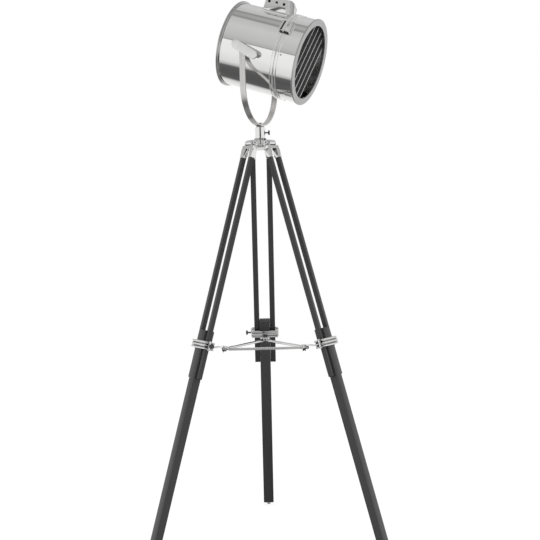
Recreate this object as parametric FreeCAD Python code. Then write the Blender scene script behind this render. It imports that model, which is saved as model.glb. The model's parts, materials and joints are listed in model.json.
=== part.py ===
"""Tripod spotlight floor lamp: a chrome drum head in a yoke on three black two-rail legs.

Millimetres, +Z up.  The origin is on the floor, at the middle of the footprint's box.
The rear leg points along +Y, the two front legs to -X -Y and +X -Y.
"""
import FreeCAD, Part

import math
import os

V = FreeCAD.Vector

# ---- stand ---------------------------------------------------------------------------
hinge_height = 1085.0        # leg hinge pins above the floor
hinge_circle = 30.0          # radius of the circle that the hinge pins lie on
foot_circle = 352.0          # radius of the circle that the feet stand on
leg_names = ("rear", "left", "right")
leg_azimuths = {"rear": 90.0, "left": 210.0, "right": 330.0}
foot_ball = 7.0              # radius of the glide's ball
foot_flat_cut = 0.5          # how much of the ball's bottom is flat
foot_shank_radius = 4.0
foot_shank_length = 16.0
foot_stand_off = 3.0         # ball centre below the leg's end

# ---- upper rails and lower leg ----------------------------------------------------------
lower_width = 30.0           # across the leg
lower_depth = 21.0           # out from the stand's axis
rail_width = 15.0
rail_depth = 12.0
rail_gap = 0.2               # between a rail and the lower leg
rail_end = 656.0             # rails' lower end, down the leg from the hinge
edge_round = 1.2             # small bevel on the black timber
stop_seat = 0.3              # stop head above the clamp
stop_length = 28.5           # length of the thicker stop head
stop_extra = 7.0             # how far the head stands inward

# ---- leg head and ferrules ---------------------------------------------------------------
head_top_radius = 7.0        # rounding of the leg head's ears about the hinge pin
head_ear_inner = 14.0        # inner faces of the two ears
head_ear_thick = 6.0
head_bar_top = 9.0           # cross bar below the hinge
head_bar_height = 9.0
head_bar_depth = 13.0
ferrule_wall = 1.2
ferrule_length = 24.0
ferrule_start = 18.3
rail_seat = 2.0              # rail's top below the ferrule's closed end
pin_radius = 3.0
pin_running = 0.05           # radial clearance of the hinge pins
ferrule_screw_radius = 2.2
ferrule_screw_head = 1.4

# ---- hub ---------------------------------------------------------------------------------
hub_core_radius = 17.0
hub_below = 9.5              # hub's foot below the hinge pins
hub_above = 12.0             # hub's top above the hinge pins
hub_rim_radius = 22.0
hub_rim_height = 6.0
lug_gap = 0.3                # between a hub lug and the leg head's ears
lug_reach = 8.0              # lug beyond the hinge pin
lug_height = 15.0
nut_radius = 5.8
nut_length = 3.4
nut_socket_radius = 2.4
nut_socket_depth = 1.6

# ---- receiver and yoke stem ----------------------------------------------------------------
receiver_radius = 14.2
receiver_length = 30.6
receiver_wall = 4.6
receiver_slot = 2.0          # width of the slit down the receiver's front
stem_clearance = 0.08
stem_length = 28.0
stem_collar_radius = 11.0
stem_collar_height = 3.4     # yoke's underside above the receiver
stem_thread_radius = 4.0
stem_hole_radius = 3.5       # the cord's way up through the stem
yoke_nut_radius = 7.0
yoke_nut_height = 5.5
yoke_nut_seat = 0.3
lock_screw_radius = 2.0
lock_tip_gap = 1.2           # loosened screw's tip, clear of the stem
lock_screw_reach = 12.0
lock_screw_head_radius = 6.4
lock_screw_head_length = 4.6
lock_screw_rise = 15.5       # above the hub's top

# ---- clamps and brace --------------------------------------------------------------------------
clamp_rise = 92.0            # clamp's middle above the rails' lower ends
clamp_height = 22.0
clamp_wall = 2.6
clamp_gap = 0.2
clamp_half = 33.4            # inner half-width across the leg
clamp_split = 0.6            # gap between the two clamp halves
rib_count = 3
rib_radius = 2.6
clamp_bolt_radius = 3.4
clamp_bolt_over = 2.0
knob_shank_radius = 2.2
knob_shank_length = 9.0
knob_head_radius = 6.4
knob_head_length = 5.0
arm_length = 42.86           # brace arm, from the clamp to the corner
brace_drop = 9.0             # brace's rods below the arms' plates
ear_width = 15.0
ear_thick = 3.2
rod_radius = 3.6
rod_pivot_offset = 11.0      # own pivot from the corner, along the rod
rod_free_offset = 12.0       # free end's eye from the corner, along the rod
rod_tongue = 4.0             # thickness of the tongue in its fork
rod_tongue_radius = 5.2
rod_side_gap = 0.3
fork_cheek = 2.2
rod_eye_radius = 5.6
rod_eye_thick = 5.0
trunnion_radius = 2.0
trunnion_running = 0.05
eye_gap = 0.6                # open pivot's clearance under the arm's plate
brace_screw_radius = 1.8
brace_screw_length = 5.0
brace_wing_length = 9.0
brace_wing_width = 2.4
brace_wing_height = 6.0

# ---- yoke ------------------------------------------------------------------------------------------
yoke_depth = 200.8           # tilt axis above the yoke's underside
yoke_side_gap = 6.6          # between the drum and an arm
yoke_thick = 3.0
yoke_width = 16.0
yoke_bow = 105.0             # height of the curved part
pan_rest = -20.7             # azimuth of the head's axis
tilt_rest = 16.55            # head's nose-down angle

# ---- drum head (X forward along the drum, Z up, origin on the tilt axis) ---------------------------
drum_radius = 112.0
drum_wall = 1.5
drum_lift = 6.8              # drum's axis above the tilt axis
drum_rear = -70.0
drum_front = 93.6
rear_face = -74.1
rear_rim_stand = 4.6         # rim beyond the drum's surface
rear_rim_length = 8.4
rear_lip_gap = 0.15
cover_sheet = 1.6
ring_start = 84.6
ring_stand = 4.0             # beaded rings beyond the drum's surface
bead_radius = 1.1
hood_gap = 0.5
hood_ring_end = 102.4
hood_stand = 2.0             # collar beyond the drum's surface
hood_wall = 1.5
front_face = 152.4
bezel_stand = 4.9            # bezel beyond the drum's surface
bezel_width = 18.1
bezel_thick = 4.0
bezel_round = 1.2
slat_count = 5
slat_pitch = 27.5
slat_thick = 1.6
slat_depth = 18.0
slat_turn = 29.0             # lean of the slats from upright, in the drum's face
slat_gap = 0.3
slat_back = 3.0              # slats behind the bezel's back face
hood_screw_radius = 2.6
hood_screw_head = 1.6
hood_screw_place = 108.3

# ---- front hinge -----------------------------------------------------------------------------------
hinge_angle = 51.5           # round the drum from its top to the near side
hinge_length = 34.0
hinge_pin_radius = 2.0
hinge_knuckle_radius = 4.0
hinge_pin_lift = 9.2         # pin's axis outside the drum's surface
leaf_thick = 2.0
drum_leaf_length = 14.0
hood_leaf_length = 20.0

# ---- vent ------------------------------------------------------------------------------------------
vent_rear = -2.0
vent_front = 63.0
vent_near = 38.0             # near wall from the drum's middle plane
vent_far = 42.0
vent_sink = 1.0              # box's foot below the drum's top
vent_wall_height = 33.5
vent_far_height = 17.0
vent_lean = 5.0
vent_sheet = 1.6
vent_hole_radius = 3.9
vent_hole_count = 3
vent_hole_rise = 20.0
vent_flange_rear = -8.0
vent_flange_front = 73.0
vent_flange_half = 46.0
vent_flange_sheet = 1.6
chimney_margin = 14.0

# ---- inside the drum -------------------------------------------------------------------------------
reflector_mouth = 66.0
reflector_throat = -38.0
reflector_throat_radius = 25.0
reflector_side_gap = 8.0     # bowl's mouth inside the drum's surface
reflector_sheet = 1.2
holder_radius = 19.5
holder_front = -22.0
holder_bore = 13.4
holder_floor = 6.0
bulb_neck_radius = 13.0
bulb_radius = 30.0
bulb_centre = 26.0
gland_drop = 72.0            # cord gland below the drum's axis
gland_radius = 8.0
gland_length = 14.0
gland_bore = 3.5

# ---- tilt lock -------------------------------------------------------------------------------------
pivot_radius = 4.0
pivot_running = 0.05
pivot_washer_radius = 9.0
pivot_washer = 2.0
boss_radius = 13.0
boss_wall = 1.5
paddle_length = 80.0
paddle_width = 24.0
paddle_thick = 5.0
pivot_proud = 3.0            # near pivot pin beyond the yoke's arm
paddle_offset = 10.0         # paddle's middle ahead of its stud
paddle_turn = 16.4           # paddle's slope below the drum's axis
cap_nut_length = 7.0
cap_nut_radius = 7.5

# ---- worked out from the sizes above ---------------------------------------------------------------
foot_centre_height = foot_ball - foot_flat_cut
leg_run = foot_circle - hinge_circle
leg_rise = hinge_height - foot_centre_height
leg_length = math.hypot(leg_run, leg_rise)
splay = math.degrees(math.atan2(leg_run, leg_rise))
stand_y = -foot_circle / 4.0
clamp_seat = lower_depth / 2 + clamp_gap + clamp_wall / 2
rail_inner = lower_width / 2 + rail_gap
rail_outer = rail_inner + rail_width
head_ear_outer = head_ear_inner + head_ear_thick
lug_half = head_ear_inner - lug_gap
stem_radius = receiver_radius - receiver_wall - stem_clearance
hub_bottom = hinge_height - hub_below
hub_top = hinge_height + hub_above
receiver_top = hub_top + receiver_length
lock_screw_height = hub_top + lock_screw_rise
yoke_bottom = receiver_top + stem_collar_height
tilt_height = yoke_bottom + yoke_depth
yoke_inner = drum_radius + yoke_side_gap
yoke_outer = yoke_inner + yoke_thick
rear_rim_radius = drum_radius + rear_rim_stand
ring_radius = drum_radius + ring_stand
hood_outer = drum_radius + hood_stand
bezel_radius = drum_radius + bezel_stand
bezel_opening = bezel_radius - bezel_width
vent_base = drum_radius - vent_sink
reflector_mouth_radius = drum_radius - reflector_side_gap
bezel_back = front_face - bezel_thick
hood_start = drum_front + hood_gap
pin_place = (drum_front + hood_start) / 2
pin_reach = drum_radius + hinge_pin_lift
clamp_centre = rail_end - clamp_rise
lower_top = clamp_centre - clamp_height / 2 - stop_seat - stop_length
clamp_reach = (hinge_circle + clamp_centre * math.sin(math.radians(splay))
               - clamp_seat * math.cos(math.radians(splay)))
brace_circle = clamp_reach - arm_length


# ---- small helpers ---------------------------------------------------------------------------------
def box(x0, x1, y0, y1, z0, z1):
    return Part.makeBox(x1 - x0, y1 - y0, z1 - z0, V(x0, y0, z0))


def rod(radius, start, end):
    way = end.sub(start)
    return Part.makeCylinder(radius, way.Length, start, way)


def tube(outer, inner, start, end):
    return rod(outer, start, end).cut(rod(inner, start, end))


def bevelled(solid, size, direction):
    """Bevel the long straight edges that run along one direction."""
    edges = []
    for edge in solid.Edges:
        if len(edge.Vertexes) != 2:
            continue
        way = edge.Vertexes[1].Point.sub(edge.Vertexes[0].Point)
        if way.Length > 8 * size and way.cross(direction).Length < 1e-6 * way.Length:
            edges.append(edge)
    return solid.makeChamfer(size, edges)


def turned(shape, axis, degrees, centre=V(0, 0, 0)):
    shape = shape.copy()
    shape.rotate(centre, axis, degrees)
    return shape


def moved(shape, offset):
    shape = shape.copy()
    shape.translate(offset)
    return shape


def revolved_x(points):
    """Full turn about X of a closed outline of (x, radius) points."""
    wire = Part.makePolygon([V(x, 0, r) for x, r in points + points[:1]])
    return Part.Face(wire).revolve(V(0, 0, 0), V(1, 0, 0), 360)


def group(shapes):
    return Part.makeCompound(shapes)


# ---- frames ----------------------------------------------------------------------------------------
def leg_frame(shape, name):
    """From the leg's own frame (hinge pin at the origin, leg down -Z, X outward) to its place."""
    shape = turned(shape, V(0, 1, 0), -splay)
    shape = moved(shape, V(hinge_circle, 0, hinge_height))
    shape = turned(shape, V(0, 0, 1), leg_azimuths[name])
    return moved(shape, V(0, stand_y, 0))


def yoke_frame(shape):
    """From the yoke's frame (origin on the tilt axis, Y along it) to its place."""
    shape = turned(shape, V(0, 0, 1), pan_rest)
    return moved(shape, V(0, stand_y, tilt_height))


def head_frame(shape):
    """From the drum's frame to its place: nose down, then turned with the yoke."""
    return yoke_frame(turned(shape, V(0, 1, 0), tilt_rest))


def stand_frame(shape):
    return moved(shape, V(0, stand_y, 0))


# ---- hub -------------------------------------------------------------------------------------------
def hub_lug(azimuth):
    """Lug that carries one leg's hinge pin, with its bore."""
    top = hinge_height + lug_height / 2
    low = hinge_height - lug_height / 2
    lug = box(0, hinge_circle, -lug_half, lug_half, low, top)
    nose = rod(lug_reach, V(hinge_circle, -lug_half, hinge_height), V(hinge_circle, lug_half, hinge_height))
    bore = rod(pin_radius, V(hinge_circle, -hinge_circle, hinge_height), V(hinge_circle, hinge_circle, hinge_height))
    return turned(lug.fuse(nose), V(0, 0, 1), azimuth), turned(bore, V(0, 0, 1), azimuth)


def hub_casting():
    hub = rod(hub_core_radius, V(0, 0, hub_bottom), V(0, 0, hub_top))
    rim = rod(hub_rim_radius, V(0, 0, hub_bottom), V(0, 0, hub_bottom + hub_rim_height))
    low_edge = [e for e in rim.Edges if abs(e.BoundBox.ZMax - hub_bottom) < 1e-6]
    hub = hub.fuse(rim.makeFillet(hub_rim_height / 2, low_edge))
    bores = []
    for name in leg_names:
        lug, bore = hub_lug(leg_azimuths[name])
        hub = hub.fuse(lug)
        bores.append(bore)
    for bore in bores:
        hub = hub.cut(bore)
    return hub.removeSplitter()


def hinge_pin(azimuth):
    reach = head_ear_outer + nut_length / 2
    pin = rod(pin_radius, V(hinge_circle, -reach, hinge_height), V(hinge_circle, reach, hinge_height))
    return turned(pin, V(0, 0, 1), azimuth)


def hinge_nut(azimuth, side):
    """Domed nut on one end of a hinge pin, with a socket in its face."""
    start = V(hinge_circle, side * (head_ear_outer + lug_gap), hinge_height)
    end = start + V(0, side * nut_length, 0)
    nut = rod(nut_radius, start, end)
    rim = [e for e in nut.Edges if e.Closed and abs(e.CenterOfMass.y - end.y) < 1e-6]
    nut = nut.makeFillet(nut_length / 3, rim)
    socket = rod(nut_socket_radius, end - V(0, side * nut_socket_depth, 0), end)
    pin_hole = rod(pin_radius, start, V(hinge_circle, side * (head_ear_outer + nut_length / 2), hinge_height))
    return turned(nut.cut(socket).cut(pin_hole), V(0, 0, 1), azimuth)


def receiver():
    body = tube(receiver_radius, receiver_radius - receiver_wall, V(0, 0, hub_top), V(0, 0, receiver_top))
    screw_way = rod(lock_screw_radius, V(0, 0, lock_screw_height), V(2 * receiver_radius, 0, lock_screw_height))
    body = body.cut(screw_way)
    reach = 2 * receiver_radius
    slit = box(-receiver_slot / 2, receiver_slot / 2, -reach, 0, hub_top + receiver_wall, receiver_top)
    return body.cut(slit)


def pan_lock_screw():
    tip = stem_radius + stem_clearance + lock_tip_gap
    shank_end = receiver_radius + lock_screw_reach - lock_screw_head_length
    height = lock_screw_height
    shank = rod(lock_screw_radius - pin_running, V(tip, 0, height), V(shank_end, 0, height))
    head = rod(lock_screw_head_radius, V(shank_end, 0, height), V(shank_end + lock_screw_head_length, 0, height))
    rims = [e for e in head.Edges if e.Closed]
    return shank.fuse(head.makeFillet(lock_screw_head_length / 5, rims))


# ---- one leg, in its own frame ---------------------------------------------------------------------
def leg_head():
    """Cross bar over the two ferrules, with two ears on the hinge pin."""
    bar = box(-head_bar_depth / 2, head_bar_depth / 2, -rail_outer, rail_outer,
              -head_bar_top - head_bar_height, -head_bar_top)
    head = bar
    for side in (-1, 1):
        inner = V(0, side * head_ear_inner, 0)
        outer = V(0, side * head_ear_outer, 0)
        ear = rod(head_top_radius, inner, outer)
        low, high = sorted((inner.y, outer.y))
        web = box(-head_bar_depth / 2, head_bar_depth / 2, low, high, -head_bar_top - head_bar_height, 0)
        slim = rod(head_bar_depth, V(0, low, -head_bar_top), V(0, high, -head_bar_top))
        head = head.fuse(ear.fuse(web.common(slim)))
    bore = rod(pin_radius + pin_running, V(0, -rail_outer, 0), V(0, rail_outer, 0))
    return head.cut(bore).removeSplitter()


def rail(side):
    low, high = sorted((side * rail_inner, side * rail_outer))
    top = -ferrule_start - rail_seat
    timber = box(-rail_depth / 2, rail_depth / 2, low, high, -rail_end, top)
    return bevelled(timber, edge_round, V(0, 0, 1))


def ferrule(side):
    """Square metal sleeve, closed at the top, over a rail's upper end."""
    low, high = sorted((side * rail_inner, side * rail_outer))
    top = -ferrule_start
    wall = ferrule_wall
    outer = box(-rail_depth / 2 - wall, rail_depth / 2 + wall, low - wall, high + wall,
                top - ferrule_length, top)
    outer = bevelled(outer, edge_round, V(0, 0, 1))
    timber = box(-rail_depth / 2, rail_depth / 2, low, high, -rail_end, top - rail_seat)
    return outer.cut(bevelled(timber, edge_round, V(0, 0, 1)))


def ferrule_screw(side):
    """Round-headed screw on the ferrule's inward face."""
    middle = side * (rail_inner + rail_outer) / 2
    face = -rail_depth / 2 - ferrule_wall
    height = -ferrule_start - ferrule_length / 2
    head = rod(ferrule_screw_radius, V(face, middle, height), V(face - ferrule_screw_head, middle, height))
    rim = [e for e in head.Edges if e.Closed and e.CenterOfMass.x < face - ferrule_screw_head / 2]
    return head.makeFillet(ferrule_screw_head / 2, rim)


def lower_leg():
    """Square lower leg with a thicker stop head at its top and a hole for the glide."""
    end = leg_length - foot_stand_off
    leg = box(-lower_depth / 2, lower_depth / 2, -lower_width / 2, lower_width / 2, -end, -lower_top)
    leg = bevelled(leg, edge_round, V(0, 0, 1))
    stop = box(-lower_depth / 2 - stop_extra, 0, -lower_width / 2, lower_width / 2,
               -lower_top - stop_length, -lower_top)
    leg = leg.fuse(bevelled(stop, edge_round, V(0, 0, 1))).removeSplitter()
    return leg.cut(rod(foot_shank_radius, V(0, 0, -end), V(0, 0, -end + foot_shank_length)))


def foot_tip(name):
    """Ball-shaped glide with a shank in the leg's end and a small flat on the floor."""
    end = leg_length - foot_stand_off
    ball = Part.makeSphere(foot_ball, V(0, 0, -leg_length))
    ball = ball.cut(box(-foot_ball, foot_ball, -foot_ball, foot_ball, -end, -end + foot_ball))
    tip = leg_frame(ball.fuse(rod(foot_shank_radius, V(0, 0, -leg_length), V(0, 0, -end + foot_shank_length))), name)
    reach = 2 * foot_circle
    return tip.cut(box(-reach, reach, -reach, reach, -2 * foot_ball, 0))


def clamp_half_shell(side):
    """One half of the clamp: a C-shaped band with three rounded ribs round its outside."""
    inner_x = lower_depth / 2 + clamp_gap
    outer_x = inner_x + clamp_wall
    outer_y = clamp_half + clamp_wall
    low = -clamp_centre - clamp_height / 2
    high = -clamp_centre + clamp_height / 2
    shell = box(0, outer_x, -outer_y, outer_y, low, high)
    pitch = (clamp_height - 2 * rib_radius) / (rib_count - 1)
    for i in range(rib_count):
        height = low + rib_radius + i * pitch
        shell = shell.fuse(rod(rib_radius, V(outer_x, -outer_y, height), V(outer_x, outer_y, height)))
        for edge in (-1, 1):
            post = V(outer_x, edge * outer_y, height)
            shell = shell.fuse(rod(rib_radius, V(0, edge * outer_y, height), post))
            shell = shell.fuse(Part.makeSphere(rib_radius, post))
    shell = shell.cut(box(-outer_x, inner_x, -clamp_half, clamp_half, low - rib_radius, high + rib_radius))
    shell = shell.cut(box(-outer_x, clamp_split / 2, -2 * outer_y, 2 * outer_y, low - rib_radius, high + rib_radius))
    for edge in (-1, 1):
        shell = shell.cut(clamp_bolt_bore(edge))
    if side < 0:
        shell = turned(shell, V(0, 0, 1), 180)
    return shell


def clamp_bolt_place(edge):
    return edge * (clamp_half + clamp_wall + rib_radius / 2)


def clamp_bolt_bore(edge):
    y = clamp_bolt_place(edge)
    reach = clamp_height
    return rod(clamp_bolt_radius, V(0, y, -clamp_centre - reach), V(0, y, -clamp_centre + reach))


def clamp_bolt(edge):
    """Upright bolt that holds the two clamp halves together at one side of the leg."""
    y = clamp_bolt_place(edge)
    half = clamp_height / 2 + clamp_bolt_over
    bolt = rod(clamp_bolt_radius, V(0, y, -clamp_centre - half), V(0, y, -clamp_centre + half))
    rims = [e for e in bolt.Edges if e.Closed]
    return bolt.makeFillet(clamp_bolt_radius / 3, rims)


def clamp_knob():
    """Thumb screw that tightens the clamp, pointing out at the leg's side."""
    start = clamp_bolt_place(1) + clamp_bolt_radius
    middle = start + knob_shank_length
    shank = rod(knob_shank_radius, V(0, start + pin_running, -clamp_centre), V(0, middle, -clamp_centre))
    head = rod(knob_head_radius, V(0, middle, -clamp_centre), V(0, middle + knob_head_length, -clamp_centre))
    rims = [e for e in head.Edges if e.Closed]
    return shank.fuse(head.makeFillet(knob_head_length / 5, rims))


# ---- brace, in the stand's frame -------------------------------------------------------------------
def leg_point(name, x, z):
    """A point of the leg's middle plane, in the stand's frame."""
    a = math.radians(splay)
    out = hinge_circle + x * math.cos(a) - z * math.sin(a)
    up = hinge_height + x * math.sin(a) + z * math.cos(a)
    azimuth = math.radians(leg_azimuths[name])
    return V(out * math.cos(azimuth), out * math.sin(azimuth), up)


def brace_level():
    """Height of the rods' axes, a little under the foot of the clamp's inner face."""
    inner_x = lower_depth / 2 + clamp_gap + clamp_wall + rib_radius
    return leg_point("rear", -inner_x, -clamp_centre).z - brace_drop - ear_thick


def corner(name):
    azimuth = math.radians(leg_azimuths[name])
    return V(brace_circle * math.cos(azimuth), brace_circle * math.sin(azimuth), brace_level())


def next_leg(name):
    return leg_names[(leg_names.index(name) + 1) % len(leg_names)]


def previous_leg(name):
    return leg_names[(leg_names.index(name) - 1) % len(leg_names)]


def rod_way(name):
    """Direction of this leg's own rod, towards the next leg's corner."""
    way = corner(next_leg(name)).sub(corner(name))
    return way.normalize()


def rod_pivot(name):
    return corner(name) + rod_way(name) * rod_pivot_offset


def rod_cross(name):
    """Level direction across the rod, which is also its pivot's axis."""
    return rod_way(name).cross(V(0, 0, 1)).normalize()


def ear_plate_low():
    return brace_level() + rod_tongue_radius + rod_side_gap


def free_eye(name):
    """Middle of the free eye of the rod that comes from the previous leg."""
    return corner(name) - rod_way(previous_leg(name)) * rod_free_offset


def brace_arm(name):
    """Arm from the clamp's inner half to the brace's corner: plate, web and the rod's fork."""
    azimuth = leg_azimuths[name]
    low = ear_plate_low()
    plate = box(brace_circle - ear_width / 2, clamp_reach, -ear_width / 2, ear_width / 2, low, low + ear_thick)
    plate = turned(plate, V(0, 0, 1), azimuth)
    for spot in (rod_pivot(name), free_eye(name)):
        disc = rod(ear_width / 2, V(spot.x, spot.y, low), V(spot.x, spot.y, low + ear_thick))
        plate = plate.fuse(disc)
    across = rod_cross(name)
    pivot = rod_pivot(name)
    inside = rod_tongue / 2 + rod_side_gap
    for side in (-1, 1):
        near = pivot + across * (side * inside)
        far = pivot + across * (side * (inside + fork_cheek))
        cheek = rod(rod_tongue_radius, near, far)
        column = box(-rod_tongue_radius, rod_tongue_radius, 0, fork_cheek, 0, low - brace_level() + ear_thick / 2)
        column = turned(column, V(0, 0, 1), math.degrees(math.atan2(-rod_cross(name).x, rod_cross(name).y)))
        start = near if side > 0 else far
        plate = plate.fuse(cheek).fuse(moved(column, start))
    bore = rod(trunnion_radius + trunnion_running, pivot - across * ear_width, pivot + across * ear_width)
    return plate.cut(bore)


def clamp_inner(name):
    """Inner clamp half with the arm that carries the brace."""
    shell = leg_frame(clamp_half_shell(-1), name)
    space = box(-lower_depth / 2 - clamp_gap, 0, -clamp_half, clamp_half, -rail_end, -lower_top)
    arm = stand_frame(brace_arm(name)).cut(leg_frame(space, name))
    return shell.fuse(arm).removeSplitter()


def brace_rod(name):
    """Round rod with a tongue and trunnions at its own pivot and a flat eye at its free end."""
    length = free_eye(next_leg(name)).sub(rod_pivot(name)).Length
    half = rod_tongue / 2
    reach = half + rod_side_gap + fork_cheek
    top = rod_tongue_radius + rod_side_gap - eye_gap
    bar_end = length - brace_wing_length / 2 - rod_side_gap
    bar = rod(rod_radius, V(2 * rod_tongue_radius, 0, 0), V(bar_end, 0, 0))
    tongue = rod(rod_tongue_radius - rod_side_gap, V(0, -half, 0), V(0, half, 0))
    neck = box(0, 3 * rod_tongue_radius, -half, half, -rod_radius / 2, rod_radius / 2)
    trunnions = rod(trunnion_radius, V(0, -reach, 0), V(0, reach, 0))
    disc = rod(rod_eye_radius, V(length, 0, top - rod_eye_thick), V(length, 0, top))
    hole = rod(brace_screw_radius, V(length, 0, -2 * rod_eye_thick), V(length, 0, 2 * rod_eye_thick))
    shape = bar.fuse(tongue).fuse(neck).fuse(trunnions).fuse(disc).cut(hole).removeSplitter()
    way = rod_way(name)
    shape = turned(shape, V(0, 0, 1), math.degrees(math.atan2(way.y, way.x)))
    return stand_frame(moved(shape, rod_pivot(name)))


def brace_screw(name):
    """Small wing screw in the free eye of this leg's rod."""
    eye = free_eye(next_leg(name))
    top = ear_plate_low() - eye_gap
    low = top - rod_eye_thick
    shank = rod(brace_screw_radius - trunnion_running, V(eye.x, eye.y, low - brace_screw_length), V(eye.x, eye.y, top))
    collar = rod(2 * brace_screw_radius, V(eye.x, eye.y, low - brace_screw_length), V(eye.x, eye.y, low))
    half = brace_wing_length / 2
    wing = box(-half, half, -brace_wing_width / 2, brace_wing_width / 2, -brace_wing_height, 0)
    notch = rod(half / 2, V(0, -brace_wing_width, -brace_wing_height), V(0, brace_wing_width, -brace_wing_height))
    wing = turned(wing.cut(notch), V(0, 0, 1), leg_azimuths[name])
    wing = moved(wing, V(eye.x, eye.y, low - brace_screw_length / 2))
    return stand_frame(shank.fuse(collar).fuse(wing).removeSplitter())


# ---- yoke ------------------------------------------------------------------------------------------
def bow(half_width, depth, height):
    """Filled yoke outline: straight arms above a half-ellipse bow."""
    straight = depth - height
    major, minor = (half_width, height) if half_width >= height else (height, half_width)
    ellipse = Part.Ellipse(V(0, 0, 0), major, minor)
    disc = Part.Face(Part.Wire(ellipse.toShape())).extrude(V(0, 0, yoke_width))
    if half_width < height:
        disc = turned(disc, V(0, 0, 1), 90)
    disc = turned(turned(disc, V(1, 0, 0), 90), V(0, 0, 1), 90)
    disc = moved(disc, V(-yoke_width / 2, 0, -straight))
    upper = box(-yoke_width / 2, yoke_width / 2, -half_width, half_width, -straight, yoke_width)
    cap = box(-yoke_width, yoke_width, -2 * half_width, 2 * half_width, -straight, 2 * depth)
    return disc.cut(cap).fuse(upper)


def yoke():
    """Flat strip bent into a yoke, with rounded ends and a hole at each pivot."""
    outer = bow(yoke_outer, yoke_depth, yoke_bow)
    inner = bow(yoke_inner, yoke_depth - yoke_thick, yoke_bow - yoke_thick)
    strip = outer.cut(inner)
    half = yoke_width / 2
    ends = rod(half, V(0, -2 * yoke_outer, 0), V(0, 2 * yoke_outer, 0))
    ends = ends.fuse(box(-half, half, -2 * yoke_outer, 2 * yoke_outer, -2 * yoke_depth, 0))
    strip = strip.common(ends)
    strip = strip.cut(rod(pivot_radius + pivot_running, V(0, -2 * yoke_outer, 0), V(0, 2 * yoke_outer, 0)))
    hole = rod(stem_thread_radius, V(0, 0, -yoke_depth - yoke_width), V(0, 0, -yoke_depth + yoke_width))
    return yoke_frame(strip.cut(hole).removeSplitter())


def yoke_stem():
    """Hollow stem that turns in the receiver, with a collar under the yoke."""
    gap = stem_clearance
    stem = rod(stem_radius, V(0, 0, receiver_top - stem_length), V(0, 0, receiver_top + gap))
    collar = rod(stem_collar_radius, V(0, 0, receiver_top + gap), V(0, 0, yoke_bottom))
    thread = rod(stem_thread_radius, V(0, 0, yoke_bottom), V(0, 0, yoke_bottom + yoke_thick + yoke_nut_seat + yoke_nut_height))
    bore = rod(stem_hole_radius, V(0, 0, 0), V(0, 0, tilt_height))
    return stand_frame(stem.fuse(collar).fuse(thread).cut(bore).removeSplitter())


def yoke_nut():
    """Six-sided nut on the stem's thread, inside the yoke."""
    points = []
    for i in range(7):
        a = math.radians(60 * i)
        points.append(V(yoke_nut_radius * math.cos(a), yoke_nut_radius * math.sin(a), 0))
    low = yoke_bottom + yoke_thick + yoke_nut_seat
    nut = Part.Face(Part.makePolygon(points)).extrude(V(0, 0, yoke_nut_height))
    nut = moved(nut, V(0, 0, low))
    nut = nut.cut(rod(stem_thread_radius, V(0, 0, yoke_bottom), V(0, 0, low + 2 * yoke_nut_height)))
    return stand_frame(nut)


# ---- drum head, in its own frame -------------------------------------------------------------------
def on_drum(shape):
    """From the drum's axis frame to the tilt axis frame, then into place."""
    return head_frame(moved(shape, V(0, 0, drum_lift)))


def round_place(x, radius, degrees):
    """Point at an angle round the drum from its top, positive to the near side."""
    a = math.radians(degrees)
    return V(x, -radius * math.sin(a), radius * math.cos(a))


def vent_opening():
    return box(vent_rear + chimney_margin, vent_front - chimney_margin,
               -vent_near + chimney_margin, vent_far - chimney_margin, 0, vent_base)


def beaded_ring(start, end, inner):
    """Ring band with a rounded bead round each edge."""
    ring = tube(ring_radius - bead_radius, inner, V(start, 0, 0), V(end, 0, 0))
    for x in (start + bead_radius, end - bead_radius):
        bead = Part.makeTorus(ring_radius - bead_radius, bead_radius, V(x, 0, 0), V(1, 0, 0))
        ring = ring.fuse(bead)
    return ring


def drum_shell():
    """Barrel with pivot bosses, the vent's opening and a ring of two beads at its front edge."""
    barrel = tube(drum_radius, drum_radius - drum_wall, V(drum_rear, 0, 0), V(drum_front, 0, 0))
    barrel = barrel.cut(vent_opening())
    inside = rod(drum_radius - drum_wall, V(drum_rear, 0, 0), V(drum_front, 0, 0))
    for side in (-1, 1):
        outer = V(0, side * (drum_radius + boss_wall), -drum_lift)
        inner = V(0, side * (drum_radius - 6 * boss_wall), -drum_lift)
        boss = rod(boss_radius, inner, outer).cut(inside)
        stud = rod(pivot_radius, V(0, 0, -drum_lift), V(0, side * 2 * drum_radius, -drum_lift))
        barrel = barrel.fuse(boss).cut(stud)
    return barrel.fuse(beaded_ring(ring_start, drum_front, drum_radius)).removeSplitter()


def rear_cover():
    """Dished lid over the drum's rear edge with a rolled rim."""
    lip = drum_radius + rear_lip_gap
    sheet = cover_sheet
    back = drum_rear - rear_lip_gap
    outline = [
        (rear_face + sheet, 0), (rear_face + sheet, lip - 4 * sheet), (rear_face, lip - 3 * sheet),
        (rear_face, rear_rim_radius - sheet), (rear_face + sheet, rear_rim_radius),
        (rear_face + rear_rim_length - sheet, rear_rim_radius),
        (rear_face + rear_rim_length, rear_rim_radius - sheet), (rear_face + rear_rim_length, lip),
        (back, lip), (back, 0),
    ]
    lid = revolved_x(outline)
    way = rod(gland_bore + 2 * pivot_running, V(2 * rear_face, 0, -gland_drop), V(0, 0, -gland_drop))
    return lid.cut(way)


def cable_gland():
    """Cord inlet in the rear cover: a flanged bush with a bore."""
    face = rear_face + cover_sheet
    bush = rod(gland_radius, V(face, 0, -gland_drop), V(face - gland_length, 0, -gland_drop))
    rim = [e for e in bush.Edges if e.Closed and e.CenterOfMass.x < face - gland_length / 2]
    bush = bush.makeFillet(cover_sheet, rim)
    return bush.cut(rod(gland_bore, V(2 * face, 0, -gland_drop), V(0, 0, -gland_drop)))


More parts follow.
